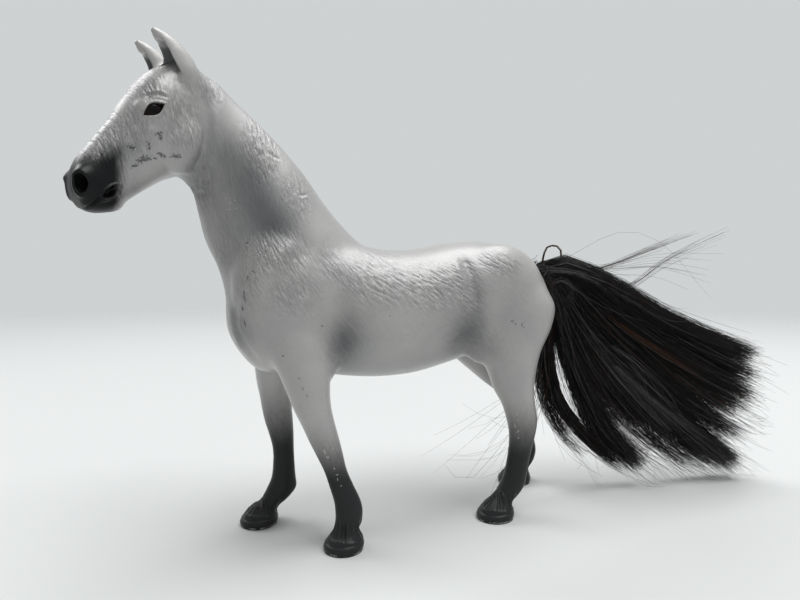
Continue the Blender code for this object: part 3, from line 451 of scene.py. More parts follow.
def turned(points):
    # turns the neck and head of the straight animal to its left
    start, end, steps = headTurn["start"], headTurn["end"], headTurn["steps"]
    direction = np.array(headTurn["direction"]) / np.linalg.norm(headTurn["direction"])
    root = np.array(neck["root"])
    along = np.linspace(start, end, steps)

    def angleAt(distance):
        return headTurn["angle"] * smoothStep(distance, start, end)

    middle = (along[1:] + along[:-1]) / 2
    step = (along[1] - along[0]) * direction[0]
    lineX = np.concatenate([[0], np.cumsum(np.cos(angleAt(middle))) * step])
    lineY = np.concatenate([[0], np.cumsum(np.sin(angleAt(middle))) * step])
    held = np.clip((points - root) @ direction, start, end)
    angle = angleAt(held)
    fromX = points[:, 0] - root[0] - held * direction[0]
    fromY = points[:, 1]
    result = points.copy()
    result[:, 0] = root[0] + start * direction[0] + np.interp(held, along, lineX)
    result[:, 0] += fromX * np.cos(angle) - fromY * np.sin(angle)
    result[:, 1] = np.interp(held, along, lineY) + fromX * np.sin(angle) + fromY * np.cos(angle)
    return result


def toFrame(points):
    return (np.asarray(points, float) + frameShift) * mm


print("stage: main form")
form = mainForm()
blendMuscles(form)
print("skin points", len(form.data.vertices))

# Sculpting. Lines are place and height along the side, and both sides get them

sculptedLines = {
    # name: points, width, depth (a ridge is negative), lip behind the line
    "jowl": ([(-88.6, 173), (-87.2, 168), (-86.9, 162.6), (-87.8, 156), (-89.5, 149), (-93, 143)],
             1.8, 0.95, -0.25),
    "jowlEnd": ([(-88.3, 154), (-89.4, 150), (-91, 147.4), (-92.6, 145.4)], 0.6, 0.35, -0.1),
    "jugular": ([(-90, 146), (-85.6, 136.5), (-81, 124.5), (-78, 113), (-76.5, 106)], 2.6, 0.8, 0.45),
    "breast": ([(-74.2, 104), (-76, 95), (-75.6, 88), (-73.3, 83.5), (-70.3, 78.6), (-65, 72)],
               1.3, 0.85, 0.4),
    "haunch": ([(15, 118.5), (17.4, 113), (19.2, 106), (20, 99), (21, 92)], 2.4, 1.0, 0.55),
    "shoulderBlade": ([(-47, 121), (-55, 112), (-62.5, 104), (-67.5, 97)], 3.2, 0.45, 0.4),
    "shoulderRear": ([(-38, 113), (-38.5, 103), (-37, 93), (-36.5, 84)], 4.0, 0.55, 0.3),
    "elbow": ([(-44, 82), (-40, 76.5), (-34.5, 72.5)], 1.8, 0.7, 0.3),
    "flank": ([(9, 76), (15, 80.5), (20, 86)], 3.0, 0.7, 0.0),
    "buttock": ([(57, 98), (54.5, 86), (50, 74), (47.5, 64)], 2.8, 0.35, 0.0),
    "crestFold": ([(-62.6, 155), (-60.6, 153.2), (-57.5, 152.2)], 0.6, 0.2, 0.1),
    "crestFoldLow": ([(-51.8, 139), (-50, 138.7), (-47.4, 139.4)], 0.6, 0.2, 0.1),
    "throatFold": ([(-92.5, 141.5), (-89, 139.5), (-86.5, 136.5)], 0.9, 0.35, 0.0),
    "faceCrest": ([(-106.2, 158.6), (-109.6, 154.3), (-113.2, 150.2)], 0.85, -0.55, -0.3),
    "browFold": ([(-109.4, 166.4), (-107.4, 168.3), (-104.8, 168.9), (-101.8, 167.8)], 0.55, 0.4, -0.2),
    "noseSide": ([(-116, 158.5), (-120.5, 151.5), (-124, 146)], 1.6, 0.3, 0.0),
    "lips": ([(-127.5, 129.2), (-125.6, 130.2), (-123.8, 132.0), (-121.8, 134.2)], 0.5, 0.85, -0.2),
    "lipsBack": ([(-117.9, 136.9), (-115.2, 137.6)], 0.6, 0.3, 0.0),
}
# Shares of a line's width: how far it reaches, and where its lip lies and how wide that is. Shares of
# its length: where it fades in and out
lineShape = {"reach": 4, "lipAt": 1.9, "lipWidth": 0.9, "fadeIn": 0.3, "fadeOut": 0.25}
eyeShape = {
    "place": (-106.9, 163.3), "tilt": 34.5, "halfLength": 3.8, "above": 1.8, "below": 1.65,
    "pocket": 1.8, "pocketEdge": (1.12, 0.3), "lid": 0.42, "lidAt": 1.36, "lidWidth": 0.26, "lowerLid": 0.5,
    "corner": (1.45, 0.4), "ball": (4.3, 3.6, 2.1), "sink": 2.5,
}
nostrilShape = {"place": (-128.1, 137.6), "halfLength": 2.0, "halfHeight": 2.8, "tilt": 12, "depth": 4.2,
                "slant": 1.05, "rim": 0.8}
# Shares of a pocket's half size: its edge, and where its rim lies and how wide that is
pocketEdge = {"edge": 1.12, "power": 0.85, "rimAt": 1.42, "rimWidth": 0.32, "reach": 3, "thick": 5}
mouthHollow = {"place": (-119.7, 135.4), "halfLength": 2.6, "halfHeight": 1.15, "tilt": 43, "depth": 1.9,
               "slant": 0.8, "rim": 0.55}


def refine(piece, chosenFaces):
    centres = np.empty(len(piece.data.polygons) * 3)
    piece.data.polygons.foreach_get("center", centres)
    piece.data.polygons.foreach_set("select", chosenFaces(centres.reshape(-1, 3)))
    for parts in (piece.data.edges, piece.data.vertices):
        parts.foreach_set("select", np.zeros(len(parts), bool))
    makeActive(piece)
    bpy.context.tool_settings.mesh_select_mode = (False, False, True)
    bpy.ops.object.mode_set(mode="EDIT")
    bpy.ops.mesh.subdivide(number_cuts=1)
    bpy.ops.mesh.vertices_smooth(factor=0.5, repeat=2)
    bpy.ops.object.mode_set(mode="OBJECT")


def lineDistance(points, line):
    # distance from a line in side view, which side of it, and the share along it
    flat = points[:, (0, 2)]
    best = np.full(len(flat), 1e9)
    side = np.zeros(len(flat))
    share = np.zeros(len(flat))
    line = np.array(line, float)
    lengths = np.linalg.norm(line[1:] - line[:-1], axis=1)
    total = lengths.sum()
    done = 0
    for first, second, length in zip(line[:-1], line[1:], lengths):
        step = (second - first) / length
        along = np.clip((flat - first) @ step, 0, length)
        away = flat - first - along[:, None] * step
        distance = np.linalg.norm(away, axis=1)
        closer = distance < best
        best = np.where(closer, distance, best)
        side = np.where(closer, away @ np.array((step[1], -step[0])), side)
        share = np.where(closer, (done + along) / total, share)
        done += length
    return best, side, share


def carveLines(points, normals):
    facing = smoothStep(np.abs(normals[:, 1]), 0.05, 0.4)
    flat = points[:, (0, 2)]
    moved = np.zeros(len(points))
    for line, width, depth, lip in sculptedLines.values():
        reach, lipAt, lipWidth = (lineShape[key] * width for key in ("reach", "lipAt", "lipWidth"))
        inside = (flat > np.min(line, axis=0) - reach) & (flat < np.max(line, axis=0) + reach)
        near = np.flatnonzero(inside.all(axis=1))
        distance, side, share = lineDistance(points[near], line)
        fade = smoothStep(share, 0, lineShape["fadeIn"]) * smoothStep(1 - share, 0, lineShape["fadeOut"])
        groove = np.exp(-(distance / width) ** 2)
        ridge = np.exp(-((np.abs(side) - lipAt) / lipWidth) ** 2)
        raised = ridge * (distance < reach) * np.sign(side)
        amount = -depth * groove + abs(lip) * raised * np.sign(lip) * (np.sign(side) == np.sign(lip))
        moved[near] += amount * fade * facing[near]
    return points + normals * moved[:, None]


def localAxes(points, normals, place, tilt, side):
    # a spot on one side of the animal, with its own level, upward and outward directions
    flat = np.hypot(points[:, 0] - place[0], points[:, 2] - place[1]) + 1e3 * (points[:, 1] * side < 0)
    near = np.argsort(flat)[:60]
    centre = points[near].mean(axis=0)
    out = normals[near].mean(axis=0)
    out /= np.linalg.norm(out)
    angle = math.radians(tilt)
    level = np.array((math.cos(angle), 0, math.sin(angle)))
    level -= out * (level @ out)
    level /= np.linalg.norm(level)
    up = np.cross(out, level) * (1 if np.cross(out, level)[2] > 0 else -1)
    return centre, level, up, out


def carvePocket(points, normals, shape, side):
    centre, level, up, out = localAxes(points, normals, shape["place"], shape["tilt"], side)
    offset = points - centre
    a = offset @ level / shape["halfLength"]
    b = offset @ up / shape["halfHeight"]
    r = np.sqrt(a * a + b * b)
    near = (r < pocketEdge["reach"]) & (np.abs(offset @ out) < pocketEdge["thick"])
    share = np.clip((pocketEdge["edge"] - r) / shape["slant"], 0, 1)
    inward = share ** pocketEdge["power"] * shape["depth"]
    rim = np.exp(-((r - pocketEdge["rimAt"]) / pocketEdge["rimWidth"]) ** 2) * shape["rim"]
    return points + out * np.where(near, rim - inward, 0)[:, None]


def eyeReach(offset, level, up):
    # 1 at the edge of the eye's opening, more outside
    a, b = offset @ level / eyeShape["halfLength"], offset @ up
    high = np.where(b > 0, eyeShape["above"], eyeShape["below"])
    return np.clip(a * a, 0, 4) ** 0.9 + np.abs(b) / high, a, b


def carveEye(points, normals, side):
    centre, level, up, out = localAxes(points, normals, eyeShape["place"], eyeShape["tilt"], side)
    offset = points - centre
    r, a, b = eyeReach(offset, level, up)
    near = (r < 4) & (np.abs(offset @ out) < 5) & (np.abs(a) < 2)
    edge, fade = eyeShape["pocketEdge"]
    inward = smoothStep(edge - r, 0, fade) * eyeShape["pocket"]
    lid = np.exp(-((r - eyeShape["lidAt"]) / eyeShape["lidWidth"]) ** 2) * eyeShape["lid"]
    lid *= np.where(b > 0, 1.0, eyeShape["lowerLid"])
    corner, fade = eyeShape["corner"]
    lid *= smoothStep(corner - np.abs(a), 0, fade)
    return points + out * np.where(near, lid - inward, 0)[:, None], (centre, level, up, out)


def earHollow(points, side):
    # how far a point is ahead of the ear's hollow, and how much of the hollow is there
    root, along, ahead, out = earAxes(side)
    turn = math.radians(ears["opens"])
    facing = ahead * math.cos(turn) + out * math.sin(turn)
    across = np.cross(along, facing)
    places, depths, thicks, backs = zip(*ears["rows"])
    t = (points - root) @ along
    depth, thick = np.interp(t, places, depths), np.interp(t, places, thicks)
    offset = points - root + ahead * np.interp(t, places, backs)[:, None]
    f, s = offset @ facing, offset @ across
    hollow = ears["hollow"]
    inner = hollow["wide"] * (thick * math.cos(turn) + depth * math.sin(turn))
    front = depth * math.cos(turn) + thick * math.sin(turn)
    rise, power, deep = hollow["bowl"]
    bottom = front * (rise * np.abs(s / inner) ** power - deep)
    top, fade = hollow["ends"]
    share, clear = hollow["ahead"]
    reach = smoothStep(t, *hollow["begins"]) * smoothStep(top - t, 0, fade)
    reach *= (np.abs(s) < inner) * (f < front * share + clear)
    return f - bottom, reach, facing


def carveEar(points, side):
    ahead, reach, facing = earHollow(points, side)
    return points - facing * (np.maximum(ahead, 0) * reach)[:, None]


# Hair and horn of a hoof: how far they reach from its middle, how deep the folds are, and the rings of
# the horn as height, wave, waves around, width and depth
pasterns = {
    "middle": 2, "reach": (13, 12, 17), "folds": 0.2, "hairFrom": (4.4, 6.2), "hairTo": (14.5, 5),
    "rings": [(4.6, 0.5, 2, 0.45, 0.22), (3.7, 0.3, 3, 0.4, -0.2), (2.9, 0, 1, 0.35, 0.12)],
}


def foldPasterns(points, normals):
    # upright folds of hair over the top of each hoof, and the ridges of its horn
    moved = np.zeros(len(points))
    for leg in legs.values():
        x, y = leg["hoof"][:2]
        ahead, out, z = (points - (x, leg["side"] * y, 0)).T
        reachX, reachY, reachZ = pasterns["reach"]
        near = (np.abs(ahead - pasterns["middle"]) < reachX) & (np.abs(out) < reachY) & (z < reachZ)
        angle = np.arctan2(out, ahead - 1.5)
        folds = np.sin(angle * 17 + np.sin(angle * 5 + y) * 1.8 + z * 0.12)
        folds += 0.6 * np.sin(angle * 31 + np.sin(angle * 7) * 2 + 1.3)
        top, fade = pasterns["hairTo"]
        amount = pasterns["folds"] * folds * smoothStep(z, *pasterns["hairFrom"])
        amount *= smoothStep(top - z, 0, fade)
        for level, wave, around, width, depth in pasterns["rings"]:
            amount += depth * np.exp(-((z - level - wave * np.sin(angle * around)) / width) ** 2)
        moved += np.where(near, amount, 0)
    return points + normals * moved[:, None]


# Parts of the skin with a finer mesh: the head behind and above these, round spots of the face as place,
# height and radius, and the hooves up to a height
fineZones = {
    "head": (-85, 126), "hooves": 13, "coat": 0.35, "middle": 0.4,
    "face": [(-106.9, 163.3, 6.5), (-128, 137.5, 5.5), (-121.5, 134, 5.5)],
}


def inHead(centres):
    return (centres[:, 0] < fineZones["head"][0]) & (centres[:, 2] > fineZones["head"][1])


def inFace(centres):
    near = np.zeros(len(centres), bool)
    for x, z, radius in fineZones["face"]:
        near |= np.hypot(centres[:, 0] - x, centres[:, 2] - z) < radius
    return near & (np.abs(centres[:, 1]) > fineZones["middle"])


def inHooves(centres):
    return centres[:, 2] < fineZones["hooves"]


# Fields that the paint follows: where each point lies on the straight animal, and which way the
# engraved coat runs there. A stroke leans down and back by the angle that the nearest guides give
coat = {
    "cell": 2.5, "runs": 4000, "reach": 13,
    "corner": (-142, -4), "size": (90, 82),
    "strokes": [
        (-127, 148, 116), (-121, 157, 114), (-113, 168, 112), (-104, 177, 108), (-124, 141, 100),
        (-118, 150, 74), (-112, 158, 72), (-107, 170, 84), (-98, 175, 60), (-106, 152, 64), (-97, 160, 54),
        (-92, 150, 66), (-85, 178, 50), (-78, 168, 72), (-70, 155, 74), (-60, 140, 76), (-50, 131, 66),
        (-84, 148, 72), (-80, 130, 74), (-68, 132, 80), (-63, 117, 84), (-53, 115, 72), (-68, 103, 74),
        (-53, 100, 58), (-45, 118, 50), (-41, 109, 38), (-30, 114, 26), (-22, 103, 21), (-5, 110, 14),
        (0, 100, 19), (12, 98, 24), (24, 113, 20), (36, 108, 28), (46, 95, 44), (56, 104, 48), (62, 90, 70),
        (48, 76, 74), (-48, 70, 84), (-50, 40, 88), (45, 40, 88), (0, 80, 14),
    ],
}
# Amount of engraving: place, height, two radii, amount
engraved = {
    "nose": (-118, 155, 12, 12, 0.95), "forehead": (-108, 172, 9, 9, 0.85), "cheek": (-97, 162, 9, 14, 0.95),
    "poll": (-86, 176, 9, 9, 0.8), "crest": (-66, 155, 10, 16, 0.95), "crestLow": (-52, 138, 9, 12, 0.75),
    "shoulderTop": (-60, 116, 14, 11, 1.0), "shoulder": (-56, 102, 13, 12, 0.75),
    "front": (-71, 105, 6, 12, 0.7), "throat": (-88, 138, 5, 14, 0.7), "throatLow": (-80, 118, 5, 12, 0.5),
    "withers": (-40, 112, 14, 11, 0.6),
    "ribs": (-22, 107, 18, 12, 1.0), "barrel": (0, 104, 18, 12, 1.0), "loin": (16, 104, 10, 14, 0.9),
    "croup": (33, 113, 13, 7, 0.95), "rump": (44, 100, 14, 13, 0.35), "foreleg": (-52, 66, 6, 12, 0.12),
}
# Airbrushed paint, together with painted shade in hollows and creases, under the jaw, on the throat, breast
# and groin, and on faces that get less light: place, height, two radii, tilt, strength
airbrushAndPaintedShade = {
    "neckHigh": (-77, 152, 9, 9, 30, 0.38), "neckUpper": (-71.5, 143.5, 8.5, 9, 30, 0.66),
    "neckMiddle": (-66.5, 134.5, 8.5, 9.5, 30, 0.78), "neckLow": (-62.5, 127, 8.5, 8, 30, 0.88),
    "neckRear": (-57, 126, 6, 6, 30, 0.35), "neckSoft": (-74, 135, 13, 20, 30, 0.36),
    "elbow": (-36.4, 82.5, 6, 9, 0, 0.85), "elbowSoft": (-34, 86, 10, 14, 0, 0.3),
    "flank": (17, 82.5, 8.5, 9, 0, 0.75), "flankHigh": (20.5, 93, 4.5, 10, 0, 0.4),
    "flankSoft": (14, 86, 13, 10, 0, 0.25), "throat": (-87.5, 141, 5, 9, 20, 0.4),
    "jaw": (-91, 147, 4, 6, 0, 0.3), "jawRear": (-81, 153, 7, 12, 20, 0.42),
    "throatLow": (-78, 118, 8, 14, 15, 0.35), "breastLine": (-75.5, 90, 4, 14, 10, 0.5),
    "earBase": (-96, 177, 4, 3.5, 0, 0.2), "nose": (-117, 149, 8, 6, 40, 0.3),
    "face": (-108, 168, 8, 11, 30, 0.3), "chin": (-112, 137, 7, 4.5, 10, 0.35),
    "groin": (26, 76, 8, 6, 30, 0.3), "thigh": (38, 88, 15, 22, 0, 0.14), "point": (-70, 88, 9, 12, 0, 0.12),
}
# Black paint on the legs: height where it is full, and where it begins
legPaint = {
    "front_left_leg": (28, 54), "front_right_leg": (32, 67),
    "hind_left_leg": (26, 59), "hind_right_leg": (33, 62),
}
# Black paint on the muzzle: how far back and how high it is full, and where it ends
muzzlePaint = {"back": (113.4, 118.6), "top": (144.5, 152.5), "slope": 0.38, "from": -122}


def grainMap():
    # two smooth maps whose level lines run along and across the strokes
    width, height = coat["size"]
    cell = coat["cell"]
    x = coat["corner"][0] + cell * np.arange(width)[:, None] + np.zeros((1, height))
    z = coat["corner"][1] + cell * np.arange(height)[None, :] + np.zeros((width, 1))
    cosine, sine, total = np.zeros_like(x), np.zeros_like(x), np.full_like(x, 1e-9)
    for px, pz, angle in coat["strokes"]:
        weight = np.exp(-((x - px) ** 2 + (z - pz) ** 2) / coat["reach"] ** 2) + 1e-6
        cosine += weight * math.cos(math.radians(angle))
        sine += weight * math.sin(math.radians(angle))
        total += weight
    length = np.hypot(cosine, sine)
    along = np.stack((cosine / length, -sine / length))
    across = np.stack((sine / length, cosine / length))
    maps = []
    for field in (along, across):
        value = x * field[0].mean() + z * field[1].mean()
        stepX = (field[0][1:] + field[0][:-1]) / 2 * cell
        stepZ = (field[1][:, 1:] + field[1][:, :-1]) / 2 * cell
        count = np.zeros_like(value)
        count[1:] += 1
        count[:-1] += 1
        count[:, 1:] += 1
        count[:, :-1] += 1
        for _ in range(coat["runs"]):
            total = np.zeros_like(value)
            total[1:] += value[:-1] + stepX
            total[:-1] += value[1:] - stepX
            total[:, 1:] += value[:, :-1] + stepZ
            total[:, :-1] += value[:, 1:] - stepZ
            value = total / count
        maps.append(value - value.mean())
    return maps


def sampleMap(values, points):
    u = np.clip((points[:, 0] - coat["corner"][0]) / coat["cell"], 0, coat["size"][0] - 1.001)
    v = np.clip((points[:, 2] - coat["corner"][1]) / coat["cell"], 0, coat["size"][1] - 1.001)
    i, j = u.astype(int), v.astype(int)
    u, v = u - i, v - j
    low = values[i, j] * (1 - u) + values[i + 1, j] * u
    high = values[i, j + 1] * (1 - u) + values[i + 1, j + 1] * u
    return low * (1 - v) + high * v


def spotAmount(points, x, z, rx, rz, tilt=0.0):
    angle = math.radians(tilt)
    dx, dz = points[:, 0] - x, points[:, 2] - z
    a = dx * math.cos(angle) + dz * math.sin(angle)
    b = dz * math.cos(angle) - dx * math.sin(angle)
    return np.exp(-((a / rx) ** 2 + (b / rz) ** 2))


# Cuts of the engraved coat: how long and wide a cell with one cut is, and a cut's width and depth
cuts = {"cell": (4.6, 0.95), "width": 0.26, "depth": 0.32, "table": 96}


def engravingAt(points):
    amount = np.zeros(len(points))
    for x, z, rx, rz, strength in engraved.values():
        amount = np.maximum(amount, spotAmount(points, x, z, rx, rz) * strength)
    return smoothStep(amount, 0.08, 0.6) * np.minimum(amount * 1.15, 1)


def cutsAt(points):
    # tapered cuts along the grain, one to each cell, every one with its own place, length and depth
    u = sampleMap(coatMaps[0], points) / cuts["cell"][0] + 31.4 * (points[:, 1] > 0) + 200
    v = sampleMap(coatMaps[1], points) / cuts["cell"][1] + 200
    table = np.random.default_rng(3).random((cuts["table"], cuts["table"], 5))
    depth = np.zeros(len(points))
    for i in (-1, 0, 1):
        for j in (-1, 0, 1):
            column, row = np.floor(u) + i, np.floor(v) + j
            pick = table[column.astype(int) % cuts["table"], row.astype(int) % cuts["table"]]
            along = (u - column - pick[:, 0]) * cuts["cell"][0]
            away = (v - row - pick[:, 1]) * cuts["cell"][1] + along * (pick[:, 4] - 0.5) * 0.16
            half = cuts["cell"][0] * (0.25 + 0.35 * pick[:, 2])
            cut = np.clip(1 - (along / half) ** 2, 0, 1) * np.exp(-(away / cuts["width"]) ** 2)
            depth = np.maximum(depth, cut * (0.45 + 0.55 * pick[:, 3]))
    return depth


def engrave(form):
    points = pointsOf(form)
    depth = cutsAt(points) * engravingAt(points)
    setPoints(form, points - normalsOf(form) * (depth * cuts["depth"])[:, None])
    setField(form, "groove", depth)


def inCoat(centres):
    return (engravingAt(centres) > fineZones["coat"]) & ~inHead(centres)


print("stage: sculpting")
coatMaps = grainMap()
for chosenFaces in (inHead, inCoat, inFace, inHooves):
    refine(form, chosenFaces)
setPoints(form, carveLines(pointsOf(form), normalsOf(form)))
for side in (-1, 1):
    for shape in (nostrilShape, mouthHollow):
        setPoints(form, carvePocket(pointsOf(form), normalsOf(form), shape, side))
eyePlaces = []
for side in (-1, 1):
    points, axes = carveEye(pointsOf(form), normalsOf(form), side)
    setPoints(form, points)
    eyePlaces.append(axes)
    setPoints(form, carveEar(pointsOf(form), side))
setPoints(form, foldPasterns(pointsOf(form), normalsOf(form)))
engrave(form)
print("sculpted points", len(form.data.vertices))

# The form comes apart as the toy does: two shells and four legs. The wall between a leg and its shell
# rises outwards, and the zone that it cuts goes well past the leg
legJoint = {"outer": 40, "rise": 19, "gap": 0.02, "below": -5}


def bisectPiece(piece, place, normal, clearInner):
    makeActive(piece)
    bpy.ops.object.mode_set(mode="EDIT")
    bpy.ops.mesh.select_all(action="SELECT")
    bpy.ops.mesh.bisect(
        plane_co=place, plane_no=normal, use_fill=True, clear_inner=clearInner, clear_outer=not clearInner)
    bpy.ops.object.mode_set(mode="OBJECT")


def legZone(leg):
    height, topFront, topRear, lowFront, lowRear = leg["joint"]
    outer, below = legJoint["outer"], legJoint["below"]
    rise = math.tan(math.radians(legJoint["rise"])) * outer
    points = []
    for top, low in ((topFront, lowFront), (topRear, lowRear)):
        corners = ((low, 0, below), (low, outer, below), (top, outer, height + rise), (top, 0, height))
        for x, y, z in corners:
            points.append((x, leg["side"] * (y - legJoint["gap"]), z))
    faces = [(0, 1, 2, 3), (7, 6, 5, 4), (0, 4, 5, 1), (1, 5, 6, 2), (2, 6, 7, 3), (3, 7, 4, 0)]
    zone = meshPiece("zone", points, faces)
    turnOutward(zone)
    return zone


def splitForm(form):
    pieces = {}
    for side, shellName in ((-1, "leftShell"), (1, "rightShell")):
        shell = copyPiece(form, shellName)
        bisectPiece(shell, (0, 0, 0), (0, 1, 0), clearInner=side > 0)
        for name, leg in legs.items():
            if leg["side"] != side:
                continue
            zone = legZone(leg)
            limb = copyPiece(shell, name.replace("_l", "L").replace("_r", "R"))
            applyModifier(limb, "BOOLEAN", object=zone, operation="INTERSECT", solver="MANIFOLD")
            applyModifier(shell, "BOOLEAN", object=zone, operation="DIFFERENCE", solver="MANIFOLD")
            bpy.data.objects.remove(zone)
            bisectPiece(limb, (0, 0, 0), (0, 0, 1), clearInner=True)
            pieces[name] = limb
        pieces["left_body_shell" if side < 0 else "right_body_shell"] = shell
    bpy.data.objects.remove(form)
    return pieces


print("stage: splitting")
figure = splitForm(form)
for name, piece in figure.items():
    piece.data.calc_loop_triangles()
    print(name, len(piece.data.loop_triangles), "triangles")


def addFields(piece, name):
    points = pointsOf(piece)
    x, z = points[:, 0], points[:, 2]
    setField(piece, "place", points)
    along, across = (sampleMap(values, points) for values in coatMaps)
    setField(piece, "grain", np.stack((along, across, points[:, 1]), 1))
    setField(piece, "engraving", engravingAt(points))
    clear = np.ones(len(points))
    # airbrushed paint and painted shade darken the coat together
    for px, pz, rx, rz, tilt, strength in airbrushAndPaintedShade.values():
        clear *= 1 - strength * spotAmount(points, px, pz, rx, rz, tilt)
    # painted shade inside the hollow of each ear
    for side in (-1, 1):
        ahead, reach = earHollow(points, side)[:2]
        clear *= 1 - 0.8 * np.exp(-(ahead / 0.7) ** 2) * np.sqrt(reach)
    setField(piece, "shade", 1 - clear)
    back, top = muzzlePaint["back"], muzzlePaint["top"]
    height = z - muzzlePaint["slope"] * (x - muzzlePaint["from"])
    black = smoothStep(-x, back[0], back[1]) * smoothStep(-height, -top[1], -top[0]) * (z > 110)
    # black paint round the eye's opening: the painted outline of the eye, which also stands in for the shade
    # under the upper lid
    for centre, level, up, out in eyePlaces:
        reach = eyeReach(points - centre, level, up)[0]
        near = (np.abs((points - centre) @ out) < 4.5) & (x < -95)
        black = np.maximum(black, smoothStep(-reach, -1.22, -1.02) * near)
    if name in legPaint:
        full, start = legPaint[name]
        black = smoothStep(-z, -start, -full)
    setField(piece, "black", black)


def settlePiece(piece):
    setPoints(piece, toFrame(turned(pointsOf(piece))))
    makeActive(piece)
    bpy.ops.object.shade_smooth_by_angle(angle=math.radians(60))


print("stage: coat")
for name, piece in figure.items():
    addFields(piece, name)
    settlePiece(piece)
    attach(piece, "figure")
    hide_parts(name)


# Eyes, set behind their lids

def addEye(side, axes):
    centre, level, up, out = axes
    bpy.ops.mesh.primitive_uv_sphere_add(segments=48, ring_count=32, radius=1)
    eye = bpy.context.object
    eye.name = "leftEye" if side < 0 else "rightEye"
    points = pointsOf(eye)
    a, b, c = eyeShape["ball"]
    middle = centre - out * eyeShape["sink"]
    placed = middle + points[:, :1] * level * a + points[:, 2:] * up * b + points[:, 1:2] * out * c
    setField(eye, "iris", points[:, (0, 2, 1)])
    setPoints(eye, toFrame(turned(placed)))
    turnOutward(eye)
    bpy.ops.object.shade_smooth()
    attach(eye, "figure")
    return eye


print("stage: eyes")
eyes = [addEye(side, axes) for side, axes in zip((-1, 1), eyePlaces)]

# Tail. Its hair gathers in clumps about guides, from the top of the fan to its front. A guide has its
# clumps, how far they spread to its neighbours, how ragged and loose they are, the share of brown hairs and
# of pale hairs that are painted sheen, and its way from the knot: along the fan and up
tail = {
    "turn": math.radians(13), "steps": 9, "thick": 0.1, "tipThick": 0.035, "strands": 70,
    # a clump's width at shares of its way, and half the thickness of the fan
    "width": (2.3, 3.0, 3.5, 2.5), "widthAt": (0, 0.12, 0.5, 1), "halfThick": 6.2,
    "endSpread": 0.1, "depth": 2.3, "gather": 0.5, "flare": 2.3,
    "guides": {
        "top": (22, 0.8, 0.16, 1.0, 0.02, 0.03,
                [(0, 1), (13, 4), (38, -7), (65, -22), (97, -35), (121.5, -45)]),
        "upper": (26, 1.0, 0.18, 1.0, 0.03, 0.03,
                  [(0, 0.5), (12, 1.5), (38, -14), (66, -31), (97, -47), (123.5, -58)]),
        "ridge": (22, 1.0, 0.22, 1.0, 0.08, 0.03,
                  [(0, 0), (11, -1.5), (36, -21), (66, -42), (96, -59.5), (121.5, -73)]),
        "rear": (20, 1.0, 0.26, 1.1, 0.03, 0.05,
                 [(0, 0), (10, -3.5), (34, -27), (64, -52), (94, -74), (117, -88)]),
        "long": (24, 0.6, 0.13, 0.85, 0.02, 0.22,
                 [(0, -0.5), (9.5, -6), (31, -33), (62, -63), (93, -88), (115, -104.5)]),
        "longInner": (10, 0.9, 0.3, 1.25, 0.02, 0.2,
                      [(0, -0.5), (9, -8), (29, -38), (56, -68), (82, -91), (102, -104)]),
        "middle": (9, 1.0, 0.62, 1.5, 0, 0.1,
                   [(0, -1), (8.5, -10), (26, -43), (49, -71), (72, -91), (92, -103)]),
        "fillet": (9, 1.0, 0.62, 1.5, 0, 0.08,
                   [(0, -1), (8, -11), (23, -46), (41, -73), (58, -90), (73, -99)]),
        "inner": (24, 0.7, 0.16, 0.95, 0, 0.06,
                  [(0, -1), (7, -12), (18.5, -45), (32, -74), (46, -91), (57, -100)]),
        "innerRear": (10, 0.5, 0.2, 0.75, 0, 0.05,
                      [(0, -1), (7, -13), (17, -46), (28, -73), (40, -88), (49, -96.5)]),
        "front": (9, 0.16, 0.14, 0.42, 0.01, 0.03,
                  [(0, -1), (5.6, -16), (5.2, -44), (12, -66), (31, -87), (51, -99.5)]),
        "wisps": (3, 0.3, 0.3, 0.8, 0.02, 0.05,
                  [(0, -1), (4.8, -16), (1, -43), (5, -66), (17, -84), (31, -95)]),
    },
    "pieces": {"tailTop": ("top", "upper"), "tailMiddle": ("ridge", "rear"),
               "tailLong": ("long", "longInner", "middle", "fillet"),
               "tailInner": ("inner", "innerRear", "front", "wisps")},
    # loose hairs, their reach, the share that keeps off the gap, and how far one runs past the fan
    "frizz": 1600, "frizzReach": 8, "frizzKept": 0.93, "frizzPast": 40, "frizzThick": 0.7,
    # shares of brown hairs in a brown clump and in any other
    "brownClump": 0.8, "brownElse": 0.02,
}
